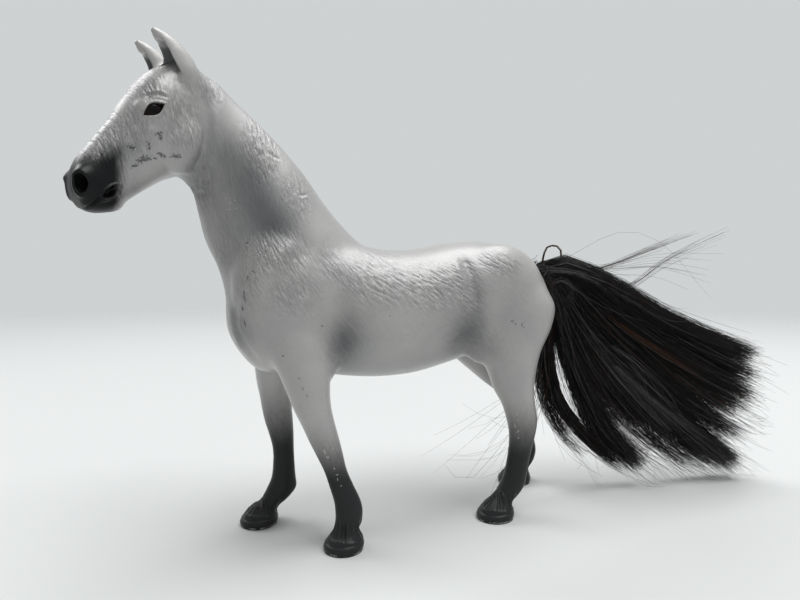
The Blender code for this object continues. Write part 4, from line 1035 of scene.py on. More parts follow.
# Hairs that stand clear of the tail: strands, spread, brown, pale, and the way from the knot. Pale hairs are
# painted sheen on the black tail
strays = {
    "highBundle": (20, 1.7, 0.3, 0.1, [(8, 3, 0), (29, 1.6, 0), (58, 11.5, 1), (86, 21.5, 2)]),
    "lowBundle": (17, 1.9, 0.3, 0.1, [(14, 1, 0), (43, -8, 0), (66, 5, 1), (81, 12.5, 1), (106, 22.5, 2)]),
    "arc": (1, 0.4, 0, 0, [(10, 6, -2), (40, 20, -2), (64, 14, -2), (88, -10, -2), (116, -35, -2)]),
    "highLoose": (9, 7, 0.2, 0, [(12, 3, 0), (36, 2, 0), (62, 4, 0), (92, -2, 0)]),
    "lowCross": (7, 12, 0.3, 0, [(2, -30, -3), (-6, -52, -6), (-30, -74, -8), (-54, -94, -9)]),
    "midCross": (6, 11, 0.3, 0, [(4, -34, -3), (-2, -60, -7), (-26, -78, -8), (-58, -68, -9)]),
    "upCross": (5, 10, 0.3, 0, [(4, -24, -2), (-4, -56, -6), (-30, -84, -8), (-40, -62, -9)]),
    "rootOver": (16, 2.2, 0, 1, [(1, 1, -3.5), (14, 0.5, -4.8), (30, -5, -5.6), (46, -15, -6)]),
    "rootCurl": (7, 2.0, 0, 1, [(3, -6, -4.6), (10, -4, -6), (15, -10, -6.6), (9, -17, -6.6)]),
    "midOver": (9, 7, 0, 1, [(36, -36, -6), (48, -44, -7.4), (60, -57, -7.6), (66, -73, -7)]),
    "longOver": (26, 2.6, 0, 1, [(38, -46, -5.5), (60, -66, -6), (84, -84, -5), (104, -98, -4)]),
    "brownOver": (16, 1.6, 1, 0, [(24, -14, -5), (46, -30, -6.4), (68, -43, -6.6), (92, -57, -5.4)]),
}
rootHair = {
    "count": 480, "radius": 2.0,
    "fringe": 520, "fringeRadius": (0.5, 6.2), "fringeDroop": 7.0, "fringeShift": (-1.8, 0, 1.6),
    "loop": (16, 0.2, [(1, 2, 0), (2.2, 8.5, 0.3), (4.0, 12.4, 0.5), (8.2, 13.2, 0.2), (11.0, 10.4, 0),
                       (10.6, 5.6, 0)]),
}
random = np.random.default_rng(7)


def fanPlace(places):
    # from along, up and across in the tail's fan to places on the straight animal
    places = np.asarray(places, float)
    cosine, sine = math.cos(tail["turn"]), math.sin(tail["turn"])
    along, up, across = places[..., 0], places[..., 1], places[..., 2]
    return knotPlace + np.stack((along * cosine + across * sine, across * cosine - along * sine, up), axis=-1)


def curveThrough(corners, shares):
    # points on a smooth curve through the corners, at shares of its length
    corners = np.array(betweenRows(corners, 12))
    lengths = np.concatenate([[0], np.cumsum(np.linalg.norm(corners[1:] - corners[:-1], axis=1))])
    lengths /= lengths[-1]
    return np.stack([np.interp(shares, lengths, corners[:, k]) for k in range(corners.shape[1])], axis=-1)


def marks(count, brown, pale):
    # which strands are brown, and which are pale as painted sheen
    return np.stack((random.random(count) < brown, random.random(count) < pale), axis=1).astype(float)


def wayBetween(place):
    # the way of a clump that lies between two guides
    ways = [np.array(guide[-1], float) for guide in tail["guides"].values()]
    place = min(max(place, 0), len(ways) - 1)
    low = min(int(place), len(ways) - 2)
    return ways[low] + (ways[low + 1] - ways[low]) * (place - low)


def clumpOfHair(place, ragged, loose):
    # strands that leave the knot together, spread into the mass and gather again at their tips
    rows, count = tail["steps"] + 1, tail["strands"]
    end = 1 - ragged * random.random() ** 1.3
    ends = end * (1 - tail["endSpread"] * random.random(count) ** 2)
    shares = np.linspace(0, 1, rows)[None, :] * ends[:, None]
    path = curveThrough(wayBetween(place), shares.reshape(-1)).reshape(count, rows, 2)
    slope = np.gradient(path, axis=1)
    slope /= np.linalg.norm(slope, axis=2, keepdims=True)
    width = np.interp(shares, tail["widthAt"], tail["width"]) * loose
    width = width * (1 - tail["gather"] * smoothStep(shares, 0.3, 1))
    offset = random.normal(size=(count, 1, 2)) * 0.6 * width[..., None]
    own = random.normal(size=2) * (0.9, tail["depth"]) * smoothStep(shares, 0, 0.4)[..., None]
    phase = random.random(2) * 6.3
    sway = np.sin(shares[..., None] * (5, 4) + phase) * shares[..., None] * (1.3, 0.9)
    flare = random.normal(size=(count, 1, 2)) * tail["flare"] * shares[..., None] ** 4
    offset = offset * (1, 0.8) + own + sway + flare
    fine = random.random((count, 1, 2)) * 6.3
    offset = offset + np.sin(shares[..., None] * 9 + fine) * shares[..., None] * 0.45
    across = np.clip(offset[..., 1], -tail["halfThick"], tail["halfThick"])
    along = path[..., 0] - slope[..., 1] * offset[..., 0]
    up = path[..., 1] + slope[..., 0] * offset[..., 0]
    return fanPlace(np.stack((along, up, across), axis=-1))


def guideHair(name):
    guides = list(tail["guides"])
    clumps, spread, ragged, loose, brown, pale = tail["guides"][name][:-1]
    paths, dyes = [], []
    for _ in range(clumps):
        place = guides.index(name) + spread * (random.random() - 0.5)
        paths.append(clumpOfHair(place, ragged, loose))
        # brown hairs keep together, and so do the pale hairs of painted sheen
        browns = tail["brownClump"] if random.random() < brown else tail["brownElse"]
        dyes.append(marks(tail["strands"], browns, pale * 2 * random.random()))
    return np.concatenate(paths), np.concatenate(dyes)


def frizzStrands(count):
    # hairs that leave the mass anywhere and stand off it
    rows = tail["steps"] + 1
    last = len(tail["guides"]) - 1
    paths = []
    for _ in range(count):
        # few of them cross the gap behind the front lock
        kept = random.random() < tail["frizzKept"]
        place = random.random() * (last - 2) if kept else last - random.random()
        start = random.random() * 0.8
        shares = start + np.linspace(0, 1, rows) * (0.15 + 0.33 * random.random())
        flat = curveThrough(wayBetween(place), np.minimum(shares, 1))
        path = np.concatenate((flat, np.zeros((rows, 1))), 1)
        whole = path[-1] - path[0]
        past = np.maximum(shares - 1, 0)[:, None] * tail["frizzPast"] * whole / (np.linalg.norm(whole) + 1)
        away = random.normal(size=3) * (1, 1, 0.5) * tail["frizzReach"] * random.random()
        bend = np.linspace(0, 1, rows)[:, None] ** 1.7
        offset = random.normal(size=3) * (2.2, 2.2, 2.4) - (0, 0, 2.2)
        paths.append(fanPlace(path + past + offset + away * bend))
    return np.array(paths)


def strayStrands():
    rows = tail["steps"] + 1
    paths, dyes = [], []
    for count, spread, brown, pale, corners in strays.values():
        for _ in range(count):
            path = curveThrough(corners, np.linspace(0, 1, rows) * (0.7 + 0.3 * random.random()))
            grow = np.linspace(0.15, 1, rows)[:, None] ** 2
            path = path + random.normal(size=3) * (1, 1, 0.3) * spread * grow
            paths.append(fanPlace(path + random.normal(size=3) * (0.4, 0.4, 0.3) * min(spread, 1.5)))
        dyes.append(marks(count, brown, pale))
    return np.array(paths), np.concatenate(dyes)


def strandPiece(name, paths, dyes, thick, tipThick):
    # one three-sided tube for each path
    count, rows = paths.shape[:2]
    paths = paths.copy()
    paths[..., 2] = np.maximum(paths[..., 2], 1.2 + 0.8 * random.random((count, 1)))
    slope = np.gradient(paths, axis=1)
    slope /= np.linalg.norm(slope, axis=2, keepdims=True) + 1e-9
    sideways = np.cross(slope, (0.31, 0.9, 0.3))
    sideways /= np.linalg.norm(sideways, axis=2, keepdims=True)
    upward = np.cross(slope, sideways)
    size = np.linspace(1, 0, rows)[None, :] ** 0.6 * (thick - tipThick) + tipThick
    size = size * (0.75 + 0.5 * random.random((count, 1)))
    corners = []
    for angle in (0, 2.0944, 4.1888):
        corners.append(paths + (sideways * math.cos(angle) + upward * math.sin(angle)) * size[..., None])
    points = np.stack(corners, axis=2).reshape(-1, 3)
    base = (np.arange(count) * rows * 3)[:, None, None]
    row = (np.arange(rows - 1) * 3)[None, :, None]
    first = np.arange(3)[None, None, :]
    second = (first + 1) % 3
    quads = np.stack(np.broadcast_arrays(
        base + row + first, base + row + second, base + row + second + 3, base + row + first + 3), axis=-1)
    start = np.arange(count)[:, None] * rows * 3
    finish = start + (rows - 1) * 3
    caps = np.concatenate((start + np.array([[2, 1, 0]]), finish + np.array([[0, 1, 2]])))
    piece = meshPiece(name, toFrame(points), quads.reshape(-1, 4).tolist() + caps.tolist())
    along = np.broadcast_to(np.linspace(0, 1, rows)[None, :, None], (count, rows, 3)).reshape(-1)
    brown, pale = (np.broadcast_to(dyes[:, k, None, None], (count, rows, 3)).reshape(-1) for k in (0, 1))
    setField(piece, "strand", np.stack((along, brown, pale), axis=-1))
    makeActive(piece)
    bpy.ops.object.shade_smooth()
    return piece


def addTail():
    pieces = []
    for name, guides in tail["pieces"].items():
        parts = [guideHair(guide) for guide in guides]
        paths, dyes = (np.concatenate([part[k] for part in parts]) for k in (0, 1))
        pieces.append(strandPiece(name, paths, dyes, tail["thick"], tail["tipThick"]))
    frizz = frizzStrands(tail["frizz"])
    stray, strayDyes = strayStrands()
    # a share of the loose hairs is pale, as painted sheen
    dyes = np.concatenate((marks(len(frizz), 0.06, 0.2), strayDyes))
    loose = np.concatenate((frizz, stray))
    pieces.append(strandPiece("tailFrizz", loose, dyes, tail["thick"] * tail["frizzThick"], tail["tipThick"]))
    for piece in pieces:
        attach(piece, "tail")
        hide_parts("tail_hair")
    return pieces


def addRootHair():
    # the gathered hair from the plug to the knot, its fringe, and the brown loop above it
    rows = tail["steps"] + 1
    shares = np.linspace(0, 1, rows)[None, :, None]
    spread = random.normal(size=(rootHair["count"], 1, 2)) * 0.5
    swell = 0.6 + 0.5 * np.sin(shares * math.pi * 0.8)
    across = np.array((0, 1.0, 0))
    up = np.cross(dockAxis, across) * -1
    start = dockPlace - dockAxis * 2
    offset = spread * rootHair["radius"] * swell
    bundle = start + dockAxis * shares * 10.5 + offset[..., :1] * across + offset[..., 1:] * up
    droop = np.array((0, 0, rootHair["fringeDroop"]))
    fringe = []
    for _ in range(rootHair["fringe"]):
        turn = random.random() * 6.3
        reach = 3 + 6 * random.random() ** 1.5
        lean = across * math.cos(turn) * 0.55 + up * (0.35 + 0.65 * abs(math.sin(turn)))
        t = np.linspace(0, 1, rows)[:, None]
        ring = across * math.cos(turn) + up * math.sin(turn)
        start = dockPlace + rootHair["fringeShift"] + ring * random.uniform(*rootHair["fringeRadius"])
        curl = np.sin(t * (1.4 + 1.6 * random.random())) * reach
        path = start + dockAxis * curl * 1.1 + (lean * 0.5 + ring * 0.5) * reach * t**1.2
        path = path + random.normal(size=3) * 1.3 * t**2 - droop * random.random() * t**2
        path = path + ring * np.sin(t * 4 + turn) * 0.5
        fringe.append(path)
    count, spreadLoop, corners = rootHair["loop"]
    loop = []
    for _ in range(count):
        path = curveThrough(corners, np.linspace(0, 1, rows)) + random.normal(size=3) * spreadLoop
        loop.append(fanPlace(path))
    paths = np.concatenate((bundle, np.array(fringe), np.array(loop)))
    # pale hairs of the bundle and the fringe are painted sheen
    dyes = np.concatenate((marks(len(bundle), 0.05, 0.08), marks(len(fringe), 0.1, 0.2), marks(count, 1, 0)))
    piece = strandPiece("tailRoot", paths, dyes, tail["thick"] * 1.2, tail["tipThick"] * 1.5)
    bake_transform(piece)
    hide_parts("tail_root_hair")
    return piece


print("stage: tail")
tailPieces = addTail()
tailPieces.append(addRootHair())

# Finishes

def feed(tree, socket, value):
    if isinstance(value, bpy.types.NodeSocket):
        tree.links.new(value, socket)
    else:
        socket.default_value = value


def addNode(tree, kind, inputs=None, **settings):
    node = tree.nodes.new("ShaderNode" + kind)
    for key, value in settings.items():
        setattr(node, key, value)
    for key, value in (inputs or {}).items():
        feed(tree, node.inputs[key], value)
    return node


def calc(tree, operation, *values, clamp=False):
    inputs = dict(enumerate(values))
    return addNode(tree, "Math", inputs, operation=operation, use_clamp=clamp).outputs[0]


def times(tree, first, second):
    return calc(tree, "MULTIPLY", first, second)


def vectorCalc(tree, operation, first, second):
    return addNode(tree, "VectorMath", {0: first, 1: second}, operation=operation).outputs[0]


def ramp(tree, value, low, high, toLow=0.0, toHigh=1.0):
    inputs = {"Value": value, "From Min": low, "From Max": high, "To Min": toLow, "To Max": toHigh}
    return addNode(tree, "MapRange", inputs, interpolation_type="SMOOTHSTEP").outputs["Result"]


def noise(tree, vector, scale, detail=2.0, rough=0.5, distortion=0.0):
    inputs = {
        "Vector": vector, "Scale": scale, "Detail": detail, "Roughness": rough, "Distortion": distortion}
    return addNode(tree, "TexNoise", inputs).outputs["Fac"]


def mixColour(tree, factor, first, second):
    # the colour version of the node has its sockets at these numbers
    node = addNode(tree, "Mix", data_type="RGBA", clamp_factor=True)
    for number, value in ((0, factor), (6, first), (7, second)):
        feed(tree, node.inputs[number], value)
    return node.outputs[2]


def addBump(tree, shader, height, strength, distance):
    bump = addNode(tree, "Bump", {"Height": height, "Strength": strength, "Distance": distance})
    tree.links.new(bump.outputs["Normal"], shader.inputs["Normal"])


def attribute(tree, name):
    return addNode(tree, "Attribute", attribute_name=name)


def newGroup(name, inputs, outputs):
    group = bpy.data.node_groups.new(name, "ShaderNodeTree")
    for socket, kind in inputs:
        group.interface.new_socket(socket, in_out="INPUT", socket_type="NodeSocket" + kind)
    for socket, kind in outputs:
        group.interface.new_socket(socket, in_out="OUTPUT", socket_type="NodeSocket" + kind)
    source = group.nodes.new("NodeGroupInput")
    target = group.nodes.new("NodeGroupOutput")
    return group, source.outputs, target.inputs


def useGroup(tree, group, inputs):
    node = tree.nodes.new("ShaderNodeGroup")
    node.node_tree = group
    for key, value in inputs.items():
        feed(tree, node.inputs[key], value)
    return node.outputs


def newMaterial(name):
    material = bpy.data.materials.new(name)
    material.use_nodes = True
    tree = material.node_tree
    return material, tree, tree.nodes["Principled BSDF"]


def engravingGroup():
    # hair strokes finer than the cuts in the mesh, painted shade in all of the cuts and strokes, and pale
    # strokes that are a painted highlight
    group, given, out = newGroup(
        "engravedStrokes", [("Grain", "Vector"), ("Amount", "Float"), ("Cut", "Float")],
        [("Height", "Float"), ("Groove", "Float"), ("Hair", "Float")])
    wide = vectorCalc(group, "MULTIPLY", given["Grain"], (0.16, 1.0, 1.0))
    fine = vectorCalc(group, "MULTIPLY", given["Grain"], (0.26, 1.35, 1.35))
    broad = noise(group, wide, 1.0, 2.0, 0.55, 0.2)
    first = calc(group, "ABSOLUTE", calc(group, "SUBTRACT", noise(group, fine, 1.0, 1.0, 0.5, 0.2), 0.5))
    hairs = ramp(group, first, 0.0, 0.1, 1.0, 0.0)
    drawn = times(group, times(group, hairs, 0.85), given["Amount"])
    groove = calc(group, "MAXIMUM", given["Cut"], drawn)
    group.links.new(groove, out["Groove"])
    # pale strokes: a painted highlight along the hair of the coat
    lit = vectorCalc(group, "MULTIPLY", given["Grain"], (0.24, 1.25, 1.25))
    lit = vectorCalc(group, "ADD", lit, (40.0, 7.0, 3.0))
    pale = ramp(group, noise(group, lit, 1.0, 2.0, 0.6, 0.2), 0.52, 0.66)
    group.links.new(times(group, pale, given["Amount"]), out["Hair"])
    swell = times(group, calc(group, "SUBTRACT", broad, 0.5), 1.6)
    height = calc(group, "SUBTRACT", times(group, swell, given["Amount"]), times(group, groove, 0.5))
    group.links.new(height, out["Height"])
    return group


def streakGroup():
    # an airbrush-soft edge of the black paint and of the painted shade, breaking up into streaks along the
    # coat
    group, given, out = newGroup(
        "streakedEdge", [("Grain", "Vector"), ("Paint", "Float"), ("Streak", "Float")], [("Mask", "Float")])
    along = vectorCalc(group, "MULTIPLY", given["Grain"], (0.22, 1.3, 1.3))
    speckle = calc(group, "SUBTRACT", noise(group, along, 1.0, 3.0, 0.6), 0.5)
    middle = times(group, given["Paint"], calc(group, "SUBTRACT", 1.0, given["Paint"]))
    shift = times(group, times(group, speckle, given["Streak"]), times(group, middle, 4.0))
    group.links.new(calc(group, "ADD", given["Paint"], shift, clamp=True), out["Mask"])
    return group


def spotsGroup(name, spots, ragged, fineness):
    # scuffs and chips of the left side: place, height, two half sizes, tilt
    group, given, out = newGroup(name, [("Place", "Vector")], [("Mask", "Float")])
    blur = noise(group, given["Place"], fineness, 3.0, 0.7)
    total = None
    for x, z, long, wide, tilt in spots:
        away = vectorCalc(group, "SUBTRACT", given["Place"], (x, spotSide, z))
        angle = math.radians(tilt)
        turn = addNode(group, "VectorRotate", {"Vector": away, "Axis": (0, 1, 0), "Angle": angle},
                       rotation_type="AXIS_ANGLE").outputs[0]
        size = vectorCalc(group, "MULTIPLY", turn, (1 / long, 0.06, 1 / wide))
        length = addNode(group, "VectorMath", {0: size}, operation="LENGTH").outputs["Value"]
        edge = calc(group, "ADD", length, times(group, calc(group, "SUBTRACT", blur, 0.5), ragged))
        spot = ramp(group, edge, 0.7, 1.15, 1.0, 0.0)
        total = spot if total is None else calc(group, "MAXIMUM", total, spot)
    group.links.new(total, out["Mask"])
    return group


# How far from the animal's middle the spots lie, on its left
spotSide = -12.0
darkScuffs = [
    (-71.8, 119.9, 0.35, 0.35, 0), (-65.1, 112.2, 0.4, 0.4, 0), (-69.9, 109.4, 0.9, 0.2, -30),
    (-72, 107.2, 0.2, 1.1, -15), (-73.1, 101.6, 0.22, 1.6, 0), (-72.7, 99.4, 0.16, 1.4, 8),
    (-73.4, 96, 0.3, 1.2, 5), (-72.6, 90.5, 0.2, 1.7, 10), (-45.2, 89, 0.55, 0.25, -35),
    (-37.2, 85.8, 0.35, 0.35, 0), (-59.9, 78.5, 0.45, 0.3, 0), (-19, 92.2, 0.35, 0.3, 0),
    (16.3, 91.4, 0.4, 0.25, 0), (37.4, 88, 1, 0.5, 20), (38.6, 87, 0.7, 0.35, -30),
    (51.4, 88.8, 0.4, 0.4, 0), (41.9, 86.2, 0.4, 1.1, 30), (42.9, 85.2, 0.8, 0.3, 30),
    (-54.4, 70.2, 0.3, 0.25, 0), (-53.2, 66.4, 0.2, 1, 15), (-51.6, 63.4, 0.25, 1.2, 25),
]
# Zones of broken dark specks on the cheek
cheekScuffs = [
    (-109.8, 146.9, 2.1, 0.9, 25), (-112.3, 144.6, 1.0, 0.5, 20), (-105.6, 155.6, 1.1, 0.5, 35),
    (-104.9, 154.4, 0.5, 0.8, 0), (-108.4, 151.4, 0.45, 1.3, 10), (-113.2, 150.3, 1.1, 0.7, -30),
    (-104.2, 148.9, 1.4, 0.6, -15), (-99.6, 149.2, 1.5, 0.7, 0), (-106.2, 147.6, 0.7, 0.4, 0),
]
paleChips = [
    (-79.6, 136.4, 0.3, 0.5, 0), (-78.3, 134.6, 0.6, 0.25, 40), (-76.6, 135.6, 0.3, 0.45, 0),
    (-76.0, 132.6, 0.35, 0.3, 0), (-78.6, 132.2, 0.3, 0.3, 0), (-44.9, 41.4, 0.5, 1.9, 18),
    (-43.6, 38.9, 0.7, 0.7, 0), (-41.7, 42.2, 0.45, 0.6, 0), (-41.1, 34.0, 0.35, 1.0, 25),
    (-39.9, 31.4, 0.6, 0.3, 0), (-39.7, 29.4, 0.25, 0.8, 0), (-38.3, 26.8, 0.35, 0.3, 0),
    (42.0, 46.4, 0.3, 0.8, 30), (42.6, 44.0, 0.22, 0.9, -25), (42.0, 41.0, 0.22, 1.0, 20),
    (43.2, 38.6, 0.22, 0.9, -30), (43.6, 35.6, 0.25, 0.4, 0), (43.1, 87.6, 1.3, 0.4, 35),
    (42.0, 85.0, 0.9, 0.25, -20), (42.6, 80.0, 0.3, 0.3, 0), (37.0, 75.6, 0.25, 1.2, 20),
    (37.6, 72.4, 0.7, 0.25, 30), (-11.6, 84.2, 0.7, 0.25, 0), (-9.4, 84.8, 0.4, 0.25, 0),
    (-6.4, 86.2, 0.3, 0.5, 0), (-4.9, 88.2, 0.3, 0.7, 0), (-4.4, 76.6, 0.2, 1.3, 35),
]
scratches = [
    (24.6, 100.3, 2.6, 0.2, -8), (29.4, 101.3, 2.6, 0.2, -14), (33.4, 103.0, 1.6, 0.22, -35),
    (-2.4, 91.4, 2.2, 0.16, -25), (-8.0, 90.0, 1.6, 0.12, -12),
]
# Colours of the figure. The hair colour is a painted highlight on the strokes, the groove colour is painted
# shade in the cuts and also tints the mottle, and the shade colour is airbrush with painted shade
horsePaint = {
    "grey": (0.425, 0.418, 0.402, 1), "greyCool": (0.37, 0.369, 0.362, 1), "groove": (0.14, 0.14, 0.145, 1),
    "hair": (0.64, 0.635, 0.62, 1), "shade": (0.06, 0.062, 0.07, 1), "black": (0.004, 0.0043, 0.005, 1),
    "legBlack": (0.021, 0.0215, 0.0225, 1),
    "scuff": (0.017, 0.017, 0.018, 1), "chip": (0.55, 0.54, 0.52, 1), "scratch": (0.34, 0.2, 0.14, 1),
    "rough": 0.42, "depth": 0.0005,
}


def paintedPlastic(name, groups, black, streak, chipAmount):
    material, tree, shader = newMaterial(name)
    place, grain = (attribute(tree, field).outputs["Vector"] for field in ("place", "grain"))
    engraving, groove, shadow, covered = (
        attribute(tree, field).outputs["Fac"] for field in ("engraving", "groove", "shade", "black"))
    cut = useGroup(tree, groups["engraving"], {"Grain": grain, "Amount": engraving, "Cut": groove})
    shade = useGroup(tree, groups["streak"], {"Grain": grain, "Paint": shadow, "Streak": 0.5})["Mask"]
    paint = useGroup(tree, groups["streak"], {"Grain": grain, "Paint": covered, "Streak": streak})["Mask"]
    scuffs, specks, chips, scratch = (
        useGroup(tree, groups[key], {"Place": place})["Mask"]
        for key in ("scuffs", "specks", "chips", "scratches"))
    mottle = ramp(tree, noise(tree, place, 0.9, 4.0, 0.65), 0.4, 0.75)
    # the lower rim of a hoof has a broken pale line
    height = addNode(tree, "SeparateXYZ", {0: place}).outputs["Z"]
    rim = times(tree, ramp(tree, height, 0.15, 0.5), ramp(tree, height, 0.75, 1.15, 1.0, 0.0))
    paleRimLine = times(tree, rim, ramp(tree, noise(tree, place, 0.35, 4.0, 0.6), 0.45, 0.6))
    broad = noise(tree, place, 0.05, 3.0, 0.55)
    colour = mixColour(tree, ramp(tree, broad, 0.35, 0.65), horsePaint["grey"], horsePaint["greyCool"])
    # each layer of paint: where it lies, how strong it is, its colour. The hair layer is a painted highlight,
    # the groove layer over the cuts is painted shade, and the shade layer is airbrush with painted shade
    layers = [
        (mottle, 0.12, "groove"), (cut["Hair"], 0.55, "hair"), (cut["Groove"], 0.62, "groove"),
        (shade, 0.9, "shade"), (paint, 1.0, black), (calc(tree, "MAXIMUM", scuffs, specks), 0.96, "scuff"),
        (scratch, 0.6, "scratch"), (chips, chipAmount, "chip"), (paleRimLine, 0.55, "chip"),
    ]
    for mask, strength, paintName in layers:
        colour = mixColour(tree, times(tree, mask, strength), colour, horsePaint[paintName])
    tree.links.new(colour, shader.inputs["Base Color"])
    rough = times(tree, noise(tree, place, 0.5, 4.0, 0.6), 0.16)
    rough = calc(tree, "ADD", rough, horsePaint["rough"] - 0.1)
    rough = calc(tree, "SUBTRACT", rough, times(tree, paint, 0.06))
    rough = calc(tree, "ADD", rough, times(tree, cut["Groove"], 0.12))
    tree.links.new(rough, shader.inputs["Roughness"])
    pits = times(tree, noise(tree, place, 2.2, 3.0, 0.6), 0.14)
    height = calc(tree, "ADD", cut["Height"], pits)
    height = calc(tree, "SUBTRACT", height, times(tree, chips, 0.5))
    addBump(tree, shader, height, 0.9, horsePaint["depth"])
    # a satin coat that the black paint, the airbrush and the painted shade dull
    bare = calc(tree, "SUBTRACT", 1.0, times(tree, paint, 0.96), clamp=True)
    dulled = calc(tree, "SUBTRACT", 1.0, times(tree, shade, 0.75), clamp=True)
    tree.links.new(times(tree, bare, dulled), shader.inputs["Coat Weight"])
    shader.inputs["Coat Roughness"].default_value = 0.4
    shader.inputs["Coat IOR"].default_value = 1.85
    shader.inputs["Specular IOR Level"].default_value = 0.14
    return material


def eyeFinish():
    material, tree, shader = newMaterial("glossyEye")
    iris = attribute(tree, "iris").outputs["Vector"]
    flat = vectorCalc(tree, "MULTIPLY", iris, (1, 1.2, 0))
    distance = addNode(tree, "VectorMath", {0: flat}, operation="LENGTH")
    rings = noise(tree, iris, 6.0, 3.0, 0.6)
    edge = calc(tree, "ADD", distance.outputs["Value"], times(tree, rings, 0.25))
    iris = ramp(tree, edge, 0.35, 0.75)
    colour = mixColour(tree, iris, (0.003, 0.0023, 0.0023, 1), (0.012, 0.0055, 0.0045, 1))
    tree.links.new(colour, shader.inputs["Base Color"])
    shader.inputs["Roughness"].default_value = 0.14
    shader.inputs["Specular IOR Level"].default_value = 0.12
    return material


def hairFinish():
    material, tree, shader = newMaterial("tailHair")
    strand = addNode(tree, "SeparateXYZ", {0: attribute(tree, "strand").outputs["Vector"]})
    place = addNode(tree, "TexCoord").outputs["Object"]
    cloud = ramp(tree, noise(tree, place, 60.0, 2.0, 0.5), 0.35, 0.65)
    colour = mixColour(tree, cloud, (0.0045, 0.0042, 0.0044, 1), (0.0085, 0.0078, 0.0077, 1))
    brown = times(tree, strand.outputs["Y"], ramp(tree, strand.outputs["X"], 0.05, 0.35))
    colour = mixColour(tree, brown, colour, (0.06, 0.024, 0.011, 1))
    # pale strands are painted sheen on the black hair
    colour = mixColour(tree, times(tree, strand.outputs["Z"], 0.8), colour, (0.13, 0.125, 0.13, 1))
    tree.links.new(colour, shader.inputs["Base Color"])
    tree.links.new(ramp(tree, strand.outputs["X"], 0.0, 1.0, 0.34, 0.5), shader.inputs["Roughness"])
    shader.inputs["Specular IOR Level"].default_value = 0.17
    return material


def threadFinish():
    material, tree, shader = newMaterial("boundThread")
    place = addNode(tree, "TexCoord").outputs["Object"]
    inputs = {"Vector": place, "Scale": 900.0, "Distortion": 2.0, "Detail": 1.0}
    twist = addNode(tree, "TexWave", inputs).outputs["Fac"]
    colour = mixColour(tree, twist, (0.012, 0.010, 0.009, 1), (0.05, 0.042, 0.036, 1))
    tree.links.new(colour, shader.inputs["Base Color"])
    shader.inputs["Roughness"].default_value = 0.85
    addBump(tree, shader, twist, 0.5, 0.0001)
    return material


def plugFinish():
    material, tree, shader = newMaterial("plugPlastic")
    place = addNode(tree, "TexCoord").outputs["Object"]
    cloud = noise(tree, place, 900.0, 3.0, 0.6)
    colour = mixColour(tree, cloud, (0.02, 0.02, 0.02, 1), (0.05, 0.048, 0.045, 1))
    tree.links.new(colour, shader.inputs["Base Color"])
    tree.links.new(ramp(tree, cloud, 0.0, 1.0, 0.45, 0.65), shader.inputs["Roughness"])
    addBump(tree, shader, cloud, 0.3, 0.0001)
    return material


def dress(piece, material):
    piece.data.materials.clear()
    piece.data.materials.append(material)


print("stage: finishes")
paintGroups = {
    "engraving": engravingGroup(), "streak": streakGroup(),
    "scuffs": spotsGroup("darkScuffs", darkScuffs, 2.4, 2.0),
    "specks": spotsGroup("cheekScuffs", cheekScuffs, 6.0, 1.9),
    "chips": spotsGroup("paleChips", paleChips, 2.2, 2.4),
    "scratches": spotsGroup("fineScratches", scratches, 0.9, 1.3),
}
bodyMaterial = paintedPlastic("greyCoat", paintGroups, "black", 1.3, 0.5)
legMaterial = paintedPlastic("legPaint", paintGroups, "legBlack", 0.35, 0.7)
for name, piece in figure.items():
    dress(piece, legMaterial if "leg" in name else bodyMaterial)
for material, pieces in ((eyeFinish(), eyes), (hairFinish(), tailPieces)):
    for piece in pieces:
        dress(piece, material)
for name, material in (("tail_binding", threadFinish()), ("tail_plug", plugFinish())):
    for slot in frame["nodes"][name].material_slots:
        slot.material = material

# Studio

studio = {
    "floor": (0.70, 0.715, 0.715, 1), "world": 0.14, "shown": (0.62, 0.64, 0.645, 1),
    # name: power, two sizes, place, aim
    "lamps": {
        "high": (71, 1.7, 2.4, (0.65, -0.4, 2.3), (0.65, -0.4, 0)),
        "left": (14, 1.2, 1.0, (-1.1, 1.3, 1.5), (-0.1, 0, 0.15)),
    },
}


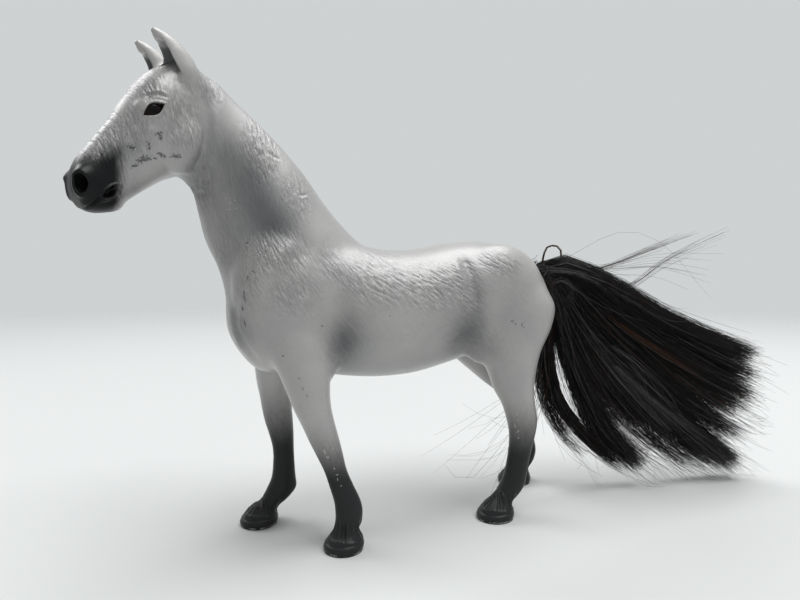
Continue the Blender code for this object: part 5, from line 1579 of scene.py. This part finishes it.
def addFloor():
    # the floor thins out far from the animal, so that it ends without a line
    deselectAll()
    bpy.ops.mesh.primitive_circle_add(vertices=96, radius=3, fill_type="NGON")
    floor = bpy.context.object
    floor.name = "floor"
    material, tree, shader = newMaterial("paleFloor")
    place = addNode(tree, "TexCoord").outputs["Object"]
    cloud = ramp(tree, noise(tree, place, 1.5, 2.0, 0.5), 0.3, 0.7)
    darker = tuple(value * 0.985 for value in studio["floor"][:3]) + (1,)
    colour = mixColour(tree, cloud, studio["floor"], darker)
    tree.links.new(colour, shader.inputs["Base Color"])
    shader.inputs["Roughness"].default_value = 0.55
    away = addNode(tree, "VectorMath", {0: place}, operation="LENGTH").outputs["Value"]
    tree.links.new(ramp(tree, away, 0.4, 1.6, 1.0, 0.0), shader.inputs["Alpha"])
    dress(floor, material)


def addLamps():
    for name, (power, width, depth, place, aim) in studio["lamps"].items():
        bpy.ops.object.light_add(type="AREA", location=place)
        lamp = bpy.context.object
        lamp.name = name
        lamp.data.energy = power
        lamp.data.shape = "RECTANGLE"
        lamp.data.size = width
        lamp.data.size_y = depth
        lamp.rotation_euler = (Vector(aim) - Vector(place)).to_track_quat("-Z", "Y").to_euler()


def addWorld():
    world = bpy.data.worlds.new("studio")
    bpy.context.scene.world = world
    world.use_nodes = True
    tree = world.node_tree
    light = tree.nodes["Background"]
    light.inputs["Color"].default_value = (1, 1, 1, 1)
    light.inputs["Strength"].default_value = studio["world"]
    shown = addNode(tree, "Background", {"Color": studio["shown"], "Strength": 1.0})
    mix = tree.nodes.new("ShaderNodeMixShader")
    rays = tree.nodes.new("ShaderNodeLightPath")
    seen = calc(tree, "MAXIMUM", rays.outputs["Is Camera Ray"], rays.outputs["Is Glossy Ray"])
    seen = calc(tree, "MAXIMUM", seen, rays.outputs["Is Transmission Ray"])
    tree.links.new(seen, mix.inputs[0])
    tree.links.new(light.outputs[0], mix.inputs[1])
    tree.links.new(shown.outputs[0], mix.inputs[2])
    tree.links.new(mix.outputs[0], tree.nodes["World Output"].inputs["Surface"])


print("stage: studio")
addFloor()
addLamps()
addWorld()
bpy.context.scene.view_settings.view_transform = "Standard"
